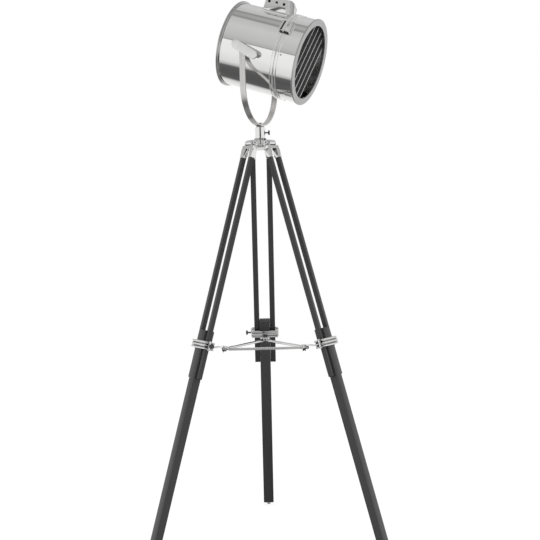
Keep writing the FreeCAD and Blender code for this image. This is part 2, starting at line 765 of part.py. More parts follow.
def hood_collar():
    """Short front barrel with its own beaded ring where it meets the drum."""
    wall = tube(hood_outer, hood_outer - hood_wall, V(hood_start, 0, 0), V(bezel_back, 0, 0))
    collar = wall.fuse(beaded_ring(hood_start, hood_ring_end, hood_outer - hood_wall))
    return collar.removeSplitter()


def hood_screw(degrees):
    """Round-headed screw on the collar's outside."""
    foot = round_place(hood_screw_place, hood_outer, degrees)
    top = round_place(hood_screw_place, hood_outer + hood_screw_head, degrees)
    head = rod(hood_screw_radius, foot - (top - foot), top)
    rim = [e for e in head.Edges if e.Closed and e.CenterOfMass.sub(top).Length < 1e-6]
    head = head.makeFillet(hood_screw_head / 2, rim)
    return head.cut(rod(hood_outer, V(hood_start, 0, 0), V(bezel_back, 0, 0)))


def front_bezel():
    """Flat flange round the front opening, with a short spigot inside the collar."""
    ring = tube(bezel_radius, bezel_opening, V(bezel_back, 0, 0), V(front_face, 0, 0))
    rims = [e for e in ring.Edges if e.Closed and e.Curve.Radius > drum_radius]
    ring = ring.makeFillet(bezel_round, rims)
    spigot_radius = hood_outer - hood_wall - rear_lip_gap
    spigot = tube(spigot_radius, spigot_radius - hood_wall, V(bezel_back - 2 * bezel_thick, 0, 0),
                  V(bezel_back, 0, 0))
    return ring.fuse(spigot).removeSplitter()


def louvre_slat(index):
    """One flat slat across the front opening, cut to the round inside the spigot."""
    place = (index - (slat_count - 1) / 2) * slat_pitch
    front = bezel_back - slat_back
    reach = 2 * bezel_radius
    slat = box(front - slat_depth, front, place - slat_thick / 2, place + slat_thick / 2, -reach, reach)
    room = hood_outer - 2 * hood_wall - rear_lip_gap - slat_gap
    slat = slat.common(rod(room, V(front - slat_depth, 0, 0), V(front, 0, 0)))
    return turned(slat, V(1, 0, 0), -slat_turn)


def knuckle(start, end, radius):
    return rod(radius, V(pin_place, start, pin_reach), V(pin_place, end, pin_reach))


def hinge_leaf(direction):
    """One hinge leaf: pads on its barrel, a plate and its share of the knuckles."""
    half = hinge_length / 2
    third = hinge_length / 3
    low = drum_radius if direction < 0 else hood_outer
    plate_low = pin_reach - leaf_thick / 2
    near = pin_place + direction * (hinge_knuckle_radius + pin_running)
    length = drum_leaf_length if direction < 0 else hood_leaf_length
    far = pin_place + direction * length
    x0, x1 = sorted((pin_place + direction * hinge_pin_radius, far))
    plate = box(x0, x1, -half, half, plate_low, plate_low + leaf_thick)
    pad0, pad1 = sorted((far - direction * 2 * leaf_thick, far))
    pads = box(pad0, pad1, -half, half, drum_radius / 2, plate_low + leaf_thick)
    leaf = plate.fuse(pads)
    spans = [(-half, -third / 2 - pin_running), (third / 2 + pin_running, half)]
    own = spans if direction < 0 else [(-third / 2, third / 2)]
    others = [(-third / 2 - pin_running, third / 2 + pin_running)] if direction < 0 else spans
    for start, end in others:
        leaf = leaf.cut(box(near - 3 * hinge_knuckle_radius * (direction > 0), near + 3 * hinge_knuckle_radius
                            * (direction < 0), start, end, drum_radius, 2 * drum_radius))
    for start, end in own:
        leaf = leaf.fuse(knuckle(start, end, hinge_knuckle_radius))
    leaf = leaf.cut(knuckle(-hinge_length, hinge_length, hinge_pin_radius + (pin_running if direction > 0 else 0)))
    leaf = turned(leaf, V(1, 0, 0), hinge_angle)
    return leaf.cut(rod(low, V(drum_rear, 0, 0), V(front_face, 0, 0))).removeSplitter()


def hinge_pin_front():
    half = hinge_length / 2
    return turned(knuckle(-half, half, hinge_pin_radius), V(1, 0, 0), hinge_angle)


def vent_outline(inset):
    """Vent's cross outline at a plane of the drum's length: straight near wall, falling round top."""
    near = -vent_near + inset
    far = vent_far - inset
    low = vent_base
    top = vent_base + vent_wall_height - inset
    far_top = vent_base + vent_far_height - inset
    lean = vent_lean
    middle = V(0, (near + lean + far) / 2 + lean, (top + far_top) / 2 + vent_wall_height / 6)
    edges = [
        Part.LineSegment(V(0, near, low), V(0, near + lean, top)),
        Part.Arc(V(0, near + lean, top), middle, V(0, far, far_top)),
        Part.LineSegment(V(0, far, far_top), V(0, far, low)),
        Part.LineSegment(V(0, far, low), V(0, near, low)),
    ]
    return Part.Face(Part.Wire([e.toShape() for e in edges]))


def vent_cap():
    """Raised vent: hollow box with round holes in both walls on a flange that follows the drum."""
    outer = moved(vent_outline(0), V(vent_rear, 0, 0)).extrude(V(vent_front - vent_rear, 0, 0))
    inner = moved(vent_outline(vent_sheet), V(vent_rear + vent_sheet, 0, 0))
    inner = inner.extrude(V(vent_front - vent_rear - 2 * vent_sheet, 0, 0))
    skirt = box(vent_rear, vent_front, -vent_near, vent_far, drum_radius / 2, vent_base)
    skirt_room = box(vent_rear + vent_sheet, vent_front - vent_sheet, -vent_near + vent_sheet,
                     vent_far - vent_sheet, 0, vent_base)
    flange = tube(drum_radius + vent_flange_sheet, drum_radius, V(vent_flange_rear, 0, 0),
                  V(vent_flange_front, 0, 0))
    flange = flange.common(box(vent_flange_rear, vent_flange_front, -vent_flange_half, vent_flange_half,
                               drum_radius / 2, 2 * drum_radius))
    cap = outer.fuse(skirt).fuse(flange).cut(inner).cut(skirt_room)
    cap = cap.cut(rod(drum_radius, V(drum_rear, 0, 0), V(drum_front, 0, 0)))
    cap = cap.cut(box(vent_rear + vent_sheet, vent_front - vent_sheet, -vent_near + vent_sheet,
                      vent_far - vent_sheet, drum_radius / 2, vent_base + vent_sheet))
    pitch = (vent_front - vent_rear) / vent_hole_count
    for i in range(vent_hole_count):
        x = vent_rear + (i + 0.5) * pitch
        height = vent_base + vent_hole_rise
        cap = cap.cut(rod(vent_hole_radius, V(x, -2 * vent_near, height), V(x, 0, height)))
        low_row = vent_base + vent_far_height / 2
        cap = cap.cut(rod(vent_hole_radius, V(x, 0, low_row), V(x, 2 * vent_far, low_row)))
    return cap.removeSplitter()


def reflector():
    """Bowl behind the bulb: a curved sheet from the throat to the mouth, with a flat seat ring."""
    steps = 8
    outside = []
    for i in range(steps + 1):
        share = i / steps
        radius = reflector_throat_radius + share * (reflector_mouth_radius - reflector_throat_radius)
        rise = (radius ** 2 - reflector_throat_radius ** 2)
        rise = rise / (reflector_mouth_radius ** 2 - reflector_throat_radius ** 2)
        outside.append((reflector_throat + rise * (reflector_mouth - reflector_throat), radius))
    inside = [(x + reflector_sheet, r - reflector_sheet) for x, r in outside]
    seat = drum_radius - drum_wall - rear_lip_gap
    outline = outside + [(reflector_mouth, seat), (reflector_mouth + reflector_sheet, seat)] + inside[::-1]
    return revolved_x(outline)


def lamp_holder():
    """Lamp holder on the rear cover's inside, with a cup for the bulb's cap."""
    back = drum_rear - rear_lip_gap
    body = rod(holder_radius, V(back, 0, 0), V(holder_front, 0, 0))
    return body.cut(rod(holder_bore, V(back + holder_floor, 0, 0), V(holder_front, 0, 0)))


def bulb():
    """Globe bulb: threaded cap in the holder, neck and a round glass."""
    back = drum_rear - rear_lip_gap + holder_floor + slat_gap
    neck = rod(bulb_neck_radius, V(back, 0, 0), V(bulb_centre, 0, 0))
    return neck.fuse(Part.makeSphere(bulb_radius, V(bulb_centre, 0, 0))).removeSplitter()


def tilt_knob():
    """Oblong paddle with a collar and a blind bore, on the end of the near pivot pin."""
    face = -(yoke_outer + slat_gap)
    washer = face - pivot_washer
    back = washer - paddle_thick
    bore = rod(pivot_radius + pin_running, V(0, 0, 0), V(0, face - pivot_proud, 0))
    collar = rod(pivot_washer_radius, V(0, face, 0), V(0, washer, 0))
    half = paddle_length / 2 - paddle_width / 2
    paddle = box(-half, half, back, washer, -paddle_width / 2, paddle_width / 2)
    for end in (-half, half):
        paddle = paddle.fuse(rod(paddle_width / 2, V(end, back, 0), V(end, washer, 0)))
    paddle = paddle.removeSplitter()
    rims = [e for e in paddle.Edges if abs(e.BoundBox.YMax - back) < 1e-6]
    paddle = paddle.makeFillet(paddle_thick / 4, rims)
    paddle = turned(moved(paddle, V(paddle_offset, 0, 0)), V(0, 1, 0), paddle_turn)
    return head_frame(collar.fuse(paddle).cut(bore).removeSplitter())


def near_pivot_pin():
    """Pin from the drum's near boss through the yoke's arm; the paddle turns on its end."""
    inner = -(drum_radius - 5 * boss_wall)
    end = pin_running - (yoke_outer + slat_gap + pivot_proud)
    return head_frame(rod(pivot_radius, V(0, inner, 0), V(0, end, 0)))


def far_pivot_bolt():
    """Shoulder bolt and domed head at the yoke's far arm."""
    inner = drum_radius - 5 * boss_wall
    face = yoke_outer + slat_gap
    shank = rod(pivot_radius, V(0, inner, 0), V(0, face, 0))
    head = rod(cap_nut_radius, V(0, face, 0), V(0, face + cap_nut_length, 0))
    rim = [e for e in head.Edges if e.Closed and e.CenterOfMass.y > face + cap_nut_length / 2]
    return head_frame(shank.fuse(head.makeFillet(cap_nut_length / 3, rim)).removeSplitter())


# ---- write every piece -----------------------------------------------------------------------------
def stand_pieces():
    pieces = {
        "hub_casting": stand_frame(hub_casting()),
        "receiver_tube": stand_frame(receiver()),
        "pan_lock_screw": stand_frame(pan_lock_screw()),
        "leg_hinge_pins": group([stand_frame(hinge_pin(leg_azimuths[n])) for n in leg_names]),
        "hinge_pin_nuts": group([stand_frame(hinge_nut(leg_azimuths[n], s)) for n in leg_names for s in (-1, 1)]),
    }
    return pieces


def leg_pieces(name):
    return {
        "leg_head_" + name: leg_frame(leg_head(), name),
        "upper_rails_" + name: leg_frame(group([rail(-1), rail(1)]), name),
        "rail_ferrules_" + name: leg_frame(group([ferrule(-1), ferrule(1)]), name),
        "ferrule_screws_" + name: leg_frame(group([ferrule_screw(-1), ferrule_screw(1)]), name),
        "lower_leg_" + name: leg_frame(lower_leg(), name),
        "foot_tip_" + name: foot_tip(name),
        "clamp_outer_" + name: leg_frame(clamp_half_shell(1), name),
        "clamp_inner_" + name: clamp_inner(name),
        "clamp_bolts_" + name: leg_frame(group([clamp_bolt(-1), clamp_bolt(1)]), name),
        "clamp_knob_" + name: leg_frame(clamp_knob(), name),
        "brace_rod_" + name: brace_rod(name),
        "brace_screw_" + name: brace_screw(name),
    }


def head_pieces():
    return {
        "yoke": yoke(),
        "yoke_stem": yoke_stem(),
        "yoke_nut": yoke_nut(),
        "tilt_knob": tilt_knob(),
        "far_pivot_bolt": group([far_pivot_bolt(), near_pivot_pin()]),
        "drum_shell": on_drum(drum_shell()),
        "rear_cover": on_drum(rear_cover()),
        "cable_gland": on_drum(cable_gland()),
        "vent_cap": on_drum(vent_cap()),
        "reflector": on_drum(reflector()),
        "lamp_holder": on_drum(lamp_holder()),
        "bulb": on_drum(bulb()),
        "hinge_leaf_drum": on_drum(hinge_leaf(-1)),
        "hinge_leaf_hood": on_drum(hinge_leaf(1)),
        "hinge_pin_front": on_drum(hinge_pin_front()),
        "hood_collar": on_drum(hood_collar()),
        "hood_screws": on_drum(group([hood_screw(a) for a in (0, 90, 180, 270)])),
        "front_bezel": on_drum(front_bezel()),
        "louvre_slats": on_drum(group([louvre_slat(i) for i in range(slat_count)])),
    }


def build():
    pieces = stand_pieces()
    for name in leg_names:
        pieces.update(leg_pieces(name))
    pieces.update(head_pieces())
    os.makedirs("parts", exist_ok=True)
    for name, shape in pieces.items():
        shape.exportStep("parts/" + name + ".step")
    return pieces


pieces = build()
print(len(pieces), "nodes")
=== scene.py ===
"""Dresses the tripod spotlight floor lamp: rolled chrome, brushed nickel, black painted timber.

Every surface is computed on a grid of two parameters, or is a merged copy of the frame's own
piece.  Lengths are in metres, and MM turns the drawing's millimetres into them.
"""

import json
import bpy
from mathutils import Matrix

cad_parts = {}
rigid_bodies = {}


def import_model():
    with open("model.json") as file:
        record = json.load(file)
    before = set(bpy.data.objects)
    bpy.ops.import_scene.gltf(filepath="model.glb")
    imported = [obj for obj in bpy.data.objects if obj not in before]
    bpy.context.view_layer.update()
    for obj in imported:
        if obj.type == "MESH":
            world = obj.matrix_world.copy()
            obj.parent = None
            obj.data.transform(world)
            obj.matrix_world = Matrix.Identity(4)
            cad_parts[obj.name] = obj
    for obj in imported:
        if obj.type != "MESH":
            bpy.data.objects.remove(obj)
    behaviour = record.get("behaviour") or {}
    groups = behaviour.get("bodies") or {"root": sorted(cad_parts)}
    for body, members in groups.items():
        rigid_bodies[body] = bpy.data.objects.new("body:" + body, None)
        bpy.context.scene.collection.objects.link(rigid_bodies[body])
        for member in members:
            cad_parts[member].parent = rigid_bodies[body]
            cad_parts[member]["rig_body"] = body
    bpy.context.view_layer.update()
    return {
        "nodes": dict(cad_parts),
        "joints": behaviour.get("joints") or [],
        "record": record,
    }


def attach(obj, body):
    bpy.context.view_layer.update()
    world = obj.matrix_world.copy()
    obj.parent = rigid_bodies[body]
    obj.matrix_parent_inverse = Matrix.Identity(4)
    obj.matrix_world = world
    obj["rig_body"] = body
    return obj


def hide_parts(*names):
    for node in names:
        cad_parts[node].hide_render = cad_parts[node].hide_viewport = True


bl_info = {
    "name": "Tripod spotlight floor lamp",
    "version": (1, 0, 0),
    "blender": (4, 5, 0),
    "location": "View3D > Sidebar > Lamp",
    "description": "Builds the drum head, yoke, legs, fittings and stage of a tripod floor lamp",
    "category": "Add Mesh",
}

import bmesh
import bpy
import numpy as np
from mathutils import Matrix, Vector

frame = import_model()

MM = 0.001
TURN = 2 * np.pi
JOINTS = {joint["name"]: joint for joint in frame["joints"]}
MOUNTS = {mount["name"]: mount for mount in frame["record"]["mounts"]}
LEGS = ("rear", "left", "right")


# ---- frames of the head and the legs ----------------------------------------------------
def unit(vector):
    vector = np.array(vector, float)
    return vector / np.linalg.norm(vector)


class Place:
    """A right-handed frame: an origin and three unit directions."""

    def __init__(self, origin, x, y):
        self.origin = np.array(origin, float)
        self.x = unit(x)
        self.y = unit(np.array(y, float) - np.dot(y, self.x) * self.x)
        self.z = np.cross(self.x, self.y)

    def put(self, x, y, z):
        """Points at x, y and z along the frame's directions, as one array."""
        x, y, z = np.broadcast_arrays(x, y, z)
        return (self.origin + x[..., None] * self.x + y[..., None] * self.y
                + z[..., None] * self.z)


def head_place(lift):
    """Drum frame: X forward along the drum, Y to the far side, origin on the drum's axis."""
    tilt = JOINTS["tilt"]
    forward = -np.array(MOUNTS["cord_inlet"]["axis"])
    place = Place(tilt["pos_m"], forward, tilt["axis"])
    place.origin = place.origin + lift * place.z
    return place


def yoke_place():
    """Yoke frame: Y along the tilt axis, Z straight up, origin on the tilt axis."""
    tilt = JOINTS["tilt"]
    across = np.array(tilt["axis"])
    return Place(tilt["pos_m"], np.cross(across, (0, 0, 1)), across)


def leg_place(name):
    """Leg frame: Z up the leg from the hinge pin, Y across the leg, X outward."""
    hinge = JOINTS["leg_fold_" + name]
    up = np.array(JOINTS["leg_length_" + name]["axis"])
    across = np.array(hinge["axis"])
    return Place(hinge["pos_m"], np.cross(across, up), across)


# ---- meshes -----------------------------------------------------------------------------
def grid_faces(nu, nv, close_u, close_v):
    """Quads of a grid with nu by nv points, which may close in either direction."""
    u, v = np.meshgrid(np.arange(nu if close_u else nu - 1),
                       np.arange(nv if close_v else nv - 1), indexing="ij")
    u, v = u.ravel(), v.ravel()
    un, vn = (u + 1) % nu, (v + 1) % nv
    quads = np.stack([u * nv + v, un * nv + v, un * nv + vn, u * nv + vn], 1)
    steps = np.stack([np.stack([u, v], 1), np.stack([u + 1, v], 1),
                      np.stack([u + 1, v + 1], 1), np.stack([u, v + 1], 1)], 1)
    return quads, steps


def finish_mesh(name, mesh, sharp_degrees):
    """Merge doubled points, turn the faces outward and shade it smooth up to an angle."""
    shell = bmesh.new()
    shell.from_mesh(mesh)
    bmesh.ops.remove_doubles(shell, verts=shell.verts, dist=MM / 500)
    bmesh.ops.dissolve_degenerate(shell, edges=shell.edges, dist=MM / 1000)
    bmesh.ops.recalc_face_normals(shell, faces=shell.faces)
    shell.to_mesh(mesh)
    shell.free()
    mesh.shade_smooth()
    mesh.set_sharp_from_angle(angle=np.radians(sharp_degrees))
    piece = bpy.data.objects.new(name, mesh)
    bpy.context.scene.collection.objects.link(piece)
    return piece


def grid_piece(name, grids, close_u=True, close_v=False, caps=False, sharp_degrees=38):
    """One piece from one or more point grids.  UV holds the two parameters, in metres."""
    if isinstance(grids, np.ndarray):
        grids = [grids]
    points, faces, uvs, start = [], [], [], 0
    for grid in grids:
        nu, nv = grid.shape[:2]
        quads, steps = grid_faces(nu, nv, close_u, close_v)
        step_u = np.linalg.norm(np.diff(grid, axis=0), axis=2).mean()
        step_v = np.linalg.norm(np.diff(grid, axis=1), axis=2).mean()
        points.append(grid.reshape(-1, 3))
        faces.extend((quads + start).tolist())
        uvs.append((steps * (step_u, step_v)).reshape(-1, 2))
        if caps:
            ring = np.arange(nu) * nv + start
            faces.append(ring[::-1].tolist())
            faces.append((ring + nv - 1).tolist())
            uvs.append(np.zeros((2 * nu, 2)))
        start += nu * nv
    mesh = bpy.data.meshes.new(name)
    mesh.from_pydata(np.concatenate(points).tolist(), [], faces)
    layer = mesh.uv_layers.new(name="UVMap")
    layer.data.foreach_set("uv", np.concatenate(uvs).astype(np.float32).ravel())
    return finish_mesh(name, mesh, sharp_degrees)


def merged_copy(node, sharp_degrees=32):
    """The frame's own piece with its loose triangles merged and its curves shaded smooth."""
    mesh = frame["nodes"][node].data.copy()
    piece = finish_mesh(node + "_shaded", mesh, sharp_degrees)
    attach(piece, frame["nodes"][node]["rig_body"])
    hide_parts(node)
    return piece


def rounded(corners, radius, steps=5):
    """Closed outline with each corner cut back by radius and joined by a quadratic curve."""
    corners = np.array(corners, float)
    before = np.roll(corners, 1, axis=0) - corners
    after = np.roll(corners, -1, axis=0) - corners
    long_before = np.linalg.norm(before, axis=1, keepdims=True)
    long_after = np.linalg.norm(after, axis=1, keepdims=True)
    start = corners + before * np.minimum(radius / long_before, 0.45)
    end = corners + after * np.minimum(radius / long_after, 0.45)
    t = np.linspace(0, 1, steps)[None, :, None]
    curve = (1 - t) ** 2 * start[:, None] + 2 * t * (1 - t) * corners[:, None] + t ** 2 * end[:, None]
    return curve.reshape(-1, 2)


def turned_grid(place, outline, steps, bump=None):
    """Outline of (x, radius) turned once about the frame's X axis.

    Point (s, a) lies at x(s), with radius r(s) times one plus bump(s, a), at angle a.
    """
    outline = np.asarray(outline, float)
    angle = np.linspace(0, TURN, steps, endpoint=False)[:, None]
    radius = outline[None, :, 1]
    if bump is not None:
        radius = radius * (1 + bump(outline[None, :, 0], angle))
    return place.put(outline[None, :, 0] + 0 * angle, radius * np.cos(angle), radius * np.sin(angle))


def rounded_bar(place, low, high, corner, steps=4):
    """Bar with every edge rounded: the section shrinks as a quarter circle towards each end.

    Section point k lies at its corner's centre plus (corner - inset) times a unit direction.
    """
    low, high = np.array(low), np.array(high)
    angle = np.linspace(0, np.pi / 2, steps)
    quarter = np.concatenate([angle + k * np.pi / 2 for k in range(4)])
    centre_x = np.repeat([high[0] - corner, low[0] + corner, low[0] + corner, high[0] - corner], steps)
    centre_y = np.repeat([high[1] - corner, high[1] - corner, low[1] + corner, low[1] + corner], steps)
    inset = corner * (1 - np.sin(angle))
    rise = corner * (1 - np.cos(angle))
    inset = np.concatenate([inset, inset[::-1]])[None, :]
    z = np.concatenate([low[2] + rise, high[2] - rise[::-1]])[None, :]
    x = centre_x[:, None] + (corner - inset) * np.cos(quarter)[:, None]
    y = centre_y[:, None] + (corner - inset) * np.sin(quarter)[:, None]
    return place.put(x, y, z + 0 * x)


# ---- shader node groups -----------------------------------------------------------------
def add_node(tree, kind, **values):
    node = tree.nodes.new(kind)
    for key, value in values.items():
        if hasattr(node, key):
            setattr(node, key, value)
        else:
            node.inputs[key.replace("_", " ")].default_value = value
    return node


def new_group(name, inputs, outputs):
    """Empty shader group: inputs and outputs are (name, socket type, default) in order."""
    tree = bpy.data.node_groups.new(name, "ShaderNodeTree")
    for label, kind, default in inputs:
        socket = tree.interface.new_socket(label, in_out="INPUT", socket_type=kind)
        if default is not None:
            socket.default_value = default
    for label, kind in outputs:
        tree.interface.new_socket(label, in_out="OUTPUT", socket_type=kind)
    return tree, tree.nodes.new("NodeGroupInput"), tree.nodes.new("NodeGroupOutput")


def ranged(tree, value, low, high):
    """Value from 0.3..0.7, where noise mostly lies, to low..high."""
    span = add_node(tree, "ShaderNodeMapRange", From_Min=0.3, From_Max=0.7)
    tree.links.new(value, span.inputs["Value"])
    tree.links.new(low, span.inputs["To Min"])
    tree.links.new(high, span.inputs["To Max"])
    return span.outputs["Result"]


def handled_metal_group():
    """Polished plate: cloudy smudges, a very low wave from the rolling, and painted shade that darkens the
    colour in recesses.
    """
    tree, source, target = new_group(
        "Handled metal",
        [("Vector", "NodeSocketVector", None), ("Cloud Scale", "NodeSocketFloat", 22.0),
         ("Smooth", "NodeSocketFloat", 0.05), ("Dull", "NodeSocketFloat", 0.1),
         ("Wave Scale", "NodeSocketFloat", 9.0), ("Bright", "NodeSocketColor", (0.8, 0.8, 0.8, 1)),
         ("Tarnish", "NodeSocketColor", (0.7, 0.7, 0.7, 1)), ("Recess Reach", "NodeSocketFloat", 0.004),
         ("Recess Level", "NodeSocketFloat", 1.0)],
        [("Color", "NodeSocketColor"), ("Roughness", "NodeSocketFloat"), ("Height", "NodeSocketFloat")])
    cloud = add_node(tree, "ShaderNodeTexNoise", Detail=4.0, Roughness=0.6)
    wave = add_node(tree, "ShaderNodeTexNoise", Detail=1.0)
    mix = add_node(tree, "ShaderNodeMix", data_type="RGBA")
    # Painted shade: ambient occlusion darkens the colour in grooves, slits and round nuts, down to Recess
    # Shade Level.
    openness = add_node(tree, "ShaderNodeAmbientOcclusion", Color=(1, 1, 1, 1))
    recess_shade = add_node(tree, "ShaderNodeMapRange", From_Min=0.3, From_Max=0.85)
    painted_recess_shade = add_node(tree, "ShaderNodeMix", data_type="RGBA", blend_type="MULTIPLY", Factor=1.0)
    for noise, scale in ((cloud, "Cloud Scale"), (wave, "Wave Scale")):
        tree.links.new(source.outputs["Vector"], noise.inputs["Vector"])
        tree.links.new(source.outputs[scale], noise.inputs["Scale"])
    tree.links.new(source.outputs["Recess Reach"], openness.inputs["Distance"])
    tree.links.new(openness.outputs["AO"], recess_shade.inputs["Value"])
    tree.links.new(source.outputs["Recess Level"], recess_shade.inputs["To Min"])
    tree.links.new(recess_shade.outputs["Result"], painted_recess_shade.inputs["B"])
    tree.links.new(cloud.outputs["Fac"], mix.inputs["Factor"])
    tree.links.new(source.outputs["Bright"], mix.inputs["A"])
    tree.links.new(source.outputs["Tarnish"], mix.inputs["B"])
    rough = ranged(tree, cloud.outputs["Fac"], source.outputs["Smooth"], source.outputs["Dull"])
    tree.links.new(mix.outputs["Result"], painted_recess_shade.inputs["A"])
    tree.links.new(painted_recess_shade.outputs["Result"], target.inputs["Color"])
    tree.links.new(rough, target.inputs["Roughness"])
    tree.links.new(wave.outputs["Fac"], target.inputs["Height"])
    return tree


def brushed_group():
    """Brushed strip: hair lines along the piece's second parameter."""
    tree, source, target = new_group(
        "Brushed lines",
        [("Vector", "NodeSocketVector", None), ("Stretch", "NodeSocketVector", (1400.0, 12.0, 1.0)),
         ("Smooth", "NodeSocketFloat", 0.2), ("Dull", "NodeSocketFloat", 0.4),
         ("Bright", "NodeSocketColor", (0.8, 0.8, 0.8, 1)),
         ("Dark", "NodeSocketColor", (0.6, 0.6, 0.6, 1))],
        [("Color", "NodeSocketColor"), ("Roughness", "NodeSocketFloat"), ("Height", "NodeSocketFloat")])
    scale = add_node(tree, "ShaderNodeVectorMath", operation="MULTIPLY")
    lines = add_node(tree, "ShaderNodeTexNoise", Scale=1.0, Detail=3.0, Roughness=0.7)
    mix = add_node(tree, "ShaderNodeMix", data_type="RGBA")
    tree.links.new(source.outputs["Vector"], scale.inputs[0])
    tree.links.new(source.outputs["Stretch"], scale.inputs[1])
    tree.links.new(scale.outputs["Vector"], lines.inputs["Vector"])
    tree.links.new(lines.outputs["Fac"], mix.inputs["Factor"])
    tree.links.new(source.outputs["Bright"], mix.inputs["A"])
    tree.links.new(source.outputs["Dark"], mix.inputs["B"])
    rough = ranged(tree, lines.outputs["Fac"], source.outputs["Smooth"], source.outputs["Dull"])
    tree.links.new(mix.outputs["Result"], target.inputs["Color"])
    tree.links.new(rough, target.inputs["Roughness"])
    tree.links.new(lines.outputs["Fac"], target.inputs["Height"])
    return tree


def painted_group():
    """Paint over a ground: the ground's lines show faintly, with small specks in the coat."""
    tree, source, target = new_group(
        "Painted ground",
        [("Vector", "NodeSocketVector", None), ("Stretch", "NodeSocketVector", (260.0, 9.0, 1.0)),
         ("Speck Scale", "NodeSocketFloat", 900.0), ("Smooth", "NodeSocketFloat", 0.3),
         ("Dull", "NodeSocketFloat", 0.5), ("Paint", "NodeSocketColor", (0.03, 0.03, 0.03, 1)),
         ("Worn", "NodeSocketColor", (0.06, 0.06, 0.06, 1))],
        [("Color", "NodeSocketColor"), ("Roughness", "NodeSocketFloat"), ("Height", "NodeSocketFloat")])
    scale = add_node(tree, "ShaderNodeVectorMath", operation="MULTIPLY")
    grain = add_node(tree, "ShaderNodeTexNoise", Scale=1.0, Detail=5.0, Roughness=0.65, Distortion=0.4)
    speck = add_node(tree, "ShaderNodeTexNoise", Detail=1.0)
    mix = add_node(tree, "ShaderNodeMix", data_type="RGBA")
    height = add_node(tree, "ShaderNodeMath", operation="MULTIPLY_ADD")
    height.inputs[1].default_value = 0.3
    tree.links.new(source.outputs["Vector"], scale.inputs[0])
    tree.links.new(source.outputs["Stretch"], scale.inputs[1])
    tree.links.new(scale.outputs["Vector"], grain.inputs["Vector"])
    tree.links.new(source.outputs["Vector"], speck.inputs["Vector"])
    tree.links.new(source.outputs["Speck Scale"], speck.inputs["Scale"])
    tree.links.new(grain.outputs["Fac"], mix.inputs["Factor"])
    tree.links.new(source.outputs["Paint"], mix.inputs["A"])
    tree.links.new(source.outputs["Worn"], mix.inputs["B"])
    tree.links.new(speck.outputs["Fac"], height.inputs[0])
    tree.links.new(grain.outputs["Fac"], height.inputs[2])
    rough = ranged(tree, grain.outputs["Fac"], source.outputs["Smooth"], source.outputs["Dull"])
    tree.links.new(mix.outputs["Result"], target.inputs["Color"])
    tree.links.new(rough, target.inputs["Roughness"])
    tree.links.new(height.outputs["Value"], target.inputs["Height"])
    return tree


GROUPS = {}


def shared_group(name, maker):
    if name not in GROUPS:
        GROUPS[name] = maker()
    return GROUPS[name]


# ---- finishes ---------------------------------------------------------------------------
def finish(name, group, coordinate, values, metallic, bump_depth, strength=1.0, coat=0.0, specular=0.5):
    """Material whose colour, roughness and bump come from one group's outputs."""
    if name in bpy.data.materials:
        return bpy.data.materials[name]
    material = bpy.data.materials.new(name)
    material.use_nodes = True
    tree = material.node_tree
    shader = tree.nodes["Principled BSDF"]
    shader.inputs["Metallic"].default_value = metallic
    shader.inputs["Coat Weight"].default_value = coat
    shader.inputs["Specular IOR Level"].default_value = specular
    place = add_node(tree, "ShaderNodeTexCoord")
    effect = add_node(tree, "ShaderNodeGroup")
    effect.node_tree = group
    for label, value in values.items():
        effect.inputs[label].default_value = value
    bump = add_node(tree, "ShaderNodeBump", Strength=strength, Distance=bump_depth)
    tree.links.new(place.outputs[coordinate], effect.inputs["Vector"])
    tree.links.new(effect.outputs["Color"], shader.inputs["Base Color"])
    tree.links.new(effect.outputs["Roughness"], shader.inputs["Roughness"])
    tree.links.new(effect.outputs["Height"], bump.inputs["Height"])
    tree.links.new(bump.outputs["Normal"], shader.inputs["Normal"])
    return material


def grey(level, warm=0.0):
    return (level * (1 + warm), level, level * (1 - warm), 1.0)


def metal(name, level, smooth, dull, cloud=22.0, wave=9.0, depth=0.02 * MM, warm=0.004, recess_shade=1.0):
    return finish(name, shared_group("metal", handled_metal_group), "Object",
                  {"Cloud Scale": cloud, "Smooth": smooth, "Dull": dull, "Wave Scale": wave,
                   "Bright": grey(level, warm), "Tarnish": grey(level * 0.93, warm),
                   "Recess Level": recess_shade}, 1.0, depth)


def sheet_chrome():
    return metal("Rolled chrome sheet", 0.84, 0.035, 0.07, depth=0.05 * MM)


def rim_chrome():
    return metal("Rolled rim chrome", 0.5, 0.12, 0.2, cloud=40.0)


def fitting_chrome():
    # Cast fittings get strong painted shade: their recesses darken to 0.08 of the colour.
    return metal("Cast chrome", 0.8, 0.06, 0.14, cloud=90.0, wave=120.0, recess_shade=0.08)


def pale_chrome():
    return metal("Pale satin chrome", 0.8, 0.26, 0.38, cloud=60.0, wave=60.0, depth=0.01 * MM)


def bezel_silver():
    return metal("Bezel satin silver", 0.47, 0.34, 0.46, cloud=50.0, wave=80.0, depth=0.01 * MM)


def plain_steel():
    return metal("Plain steel", 0.6, 0.2, 0.34, cloud=120.0, wave=200.0, depth=0.01 * MM)


# Painted shade: the bowl's colour is kept dark at 0.3 to stand in for the shaded drum interior it reflects.
def bowl_metal():
    return metal("Hammered bowl", 0.3, 0.16, 0.28, cloud=60.0, wave=170.0, depth=0.35 * MM)


# Near-black metal for the strips that paint the hinge gap's shadow.
def hinge_shadow_steel():
    return metal("Blued hinge steel", 0.05, 0.25, 0.4, cloud=90.0)


def brushed_nickel():
    return finish("Brushed nickel", shared_group("brushed", brushed_group), "UV",
                  {"Smooth": 0.2, "Dull": 0.34, "Bright": grey(0.7, 0.012), "Dark": grey(0.52, 0.014)},
                  1.0, 0.01 * MM)


def painted(name, level, coordinate="UV", stretch=(260.0, 9.0, 1.0), smooth=0.3, dull=0.46,
            depth=0.06 * MM):
    return finish(name, shared_group("painted", painted_group), coordinate,
                  {"Stretch": stretch, "Smooth": smooth, "Dull": dull, "Paint": grey(level),
                   "Worn": grey(level * 1.7)}, 0.0, depth, specular=0.45)


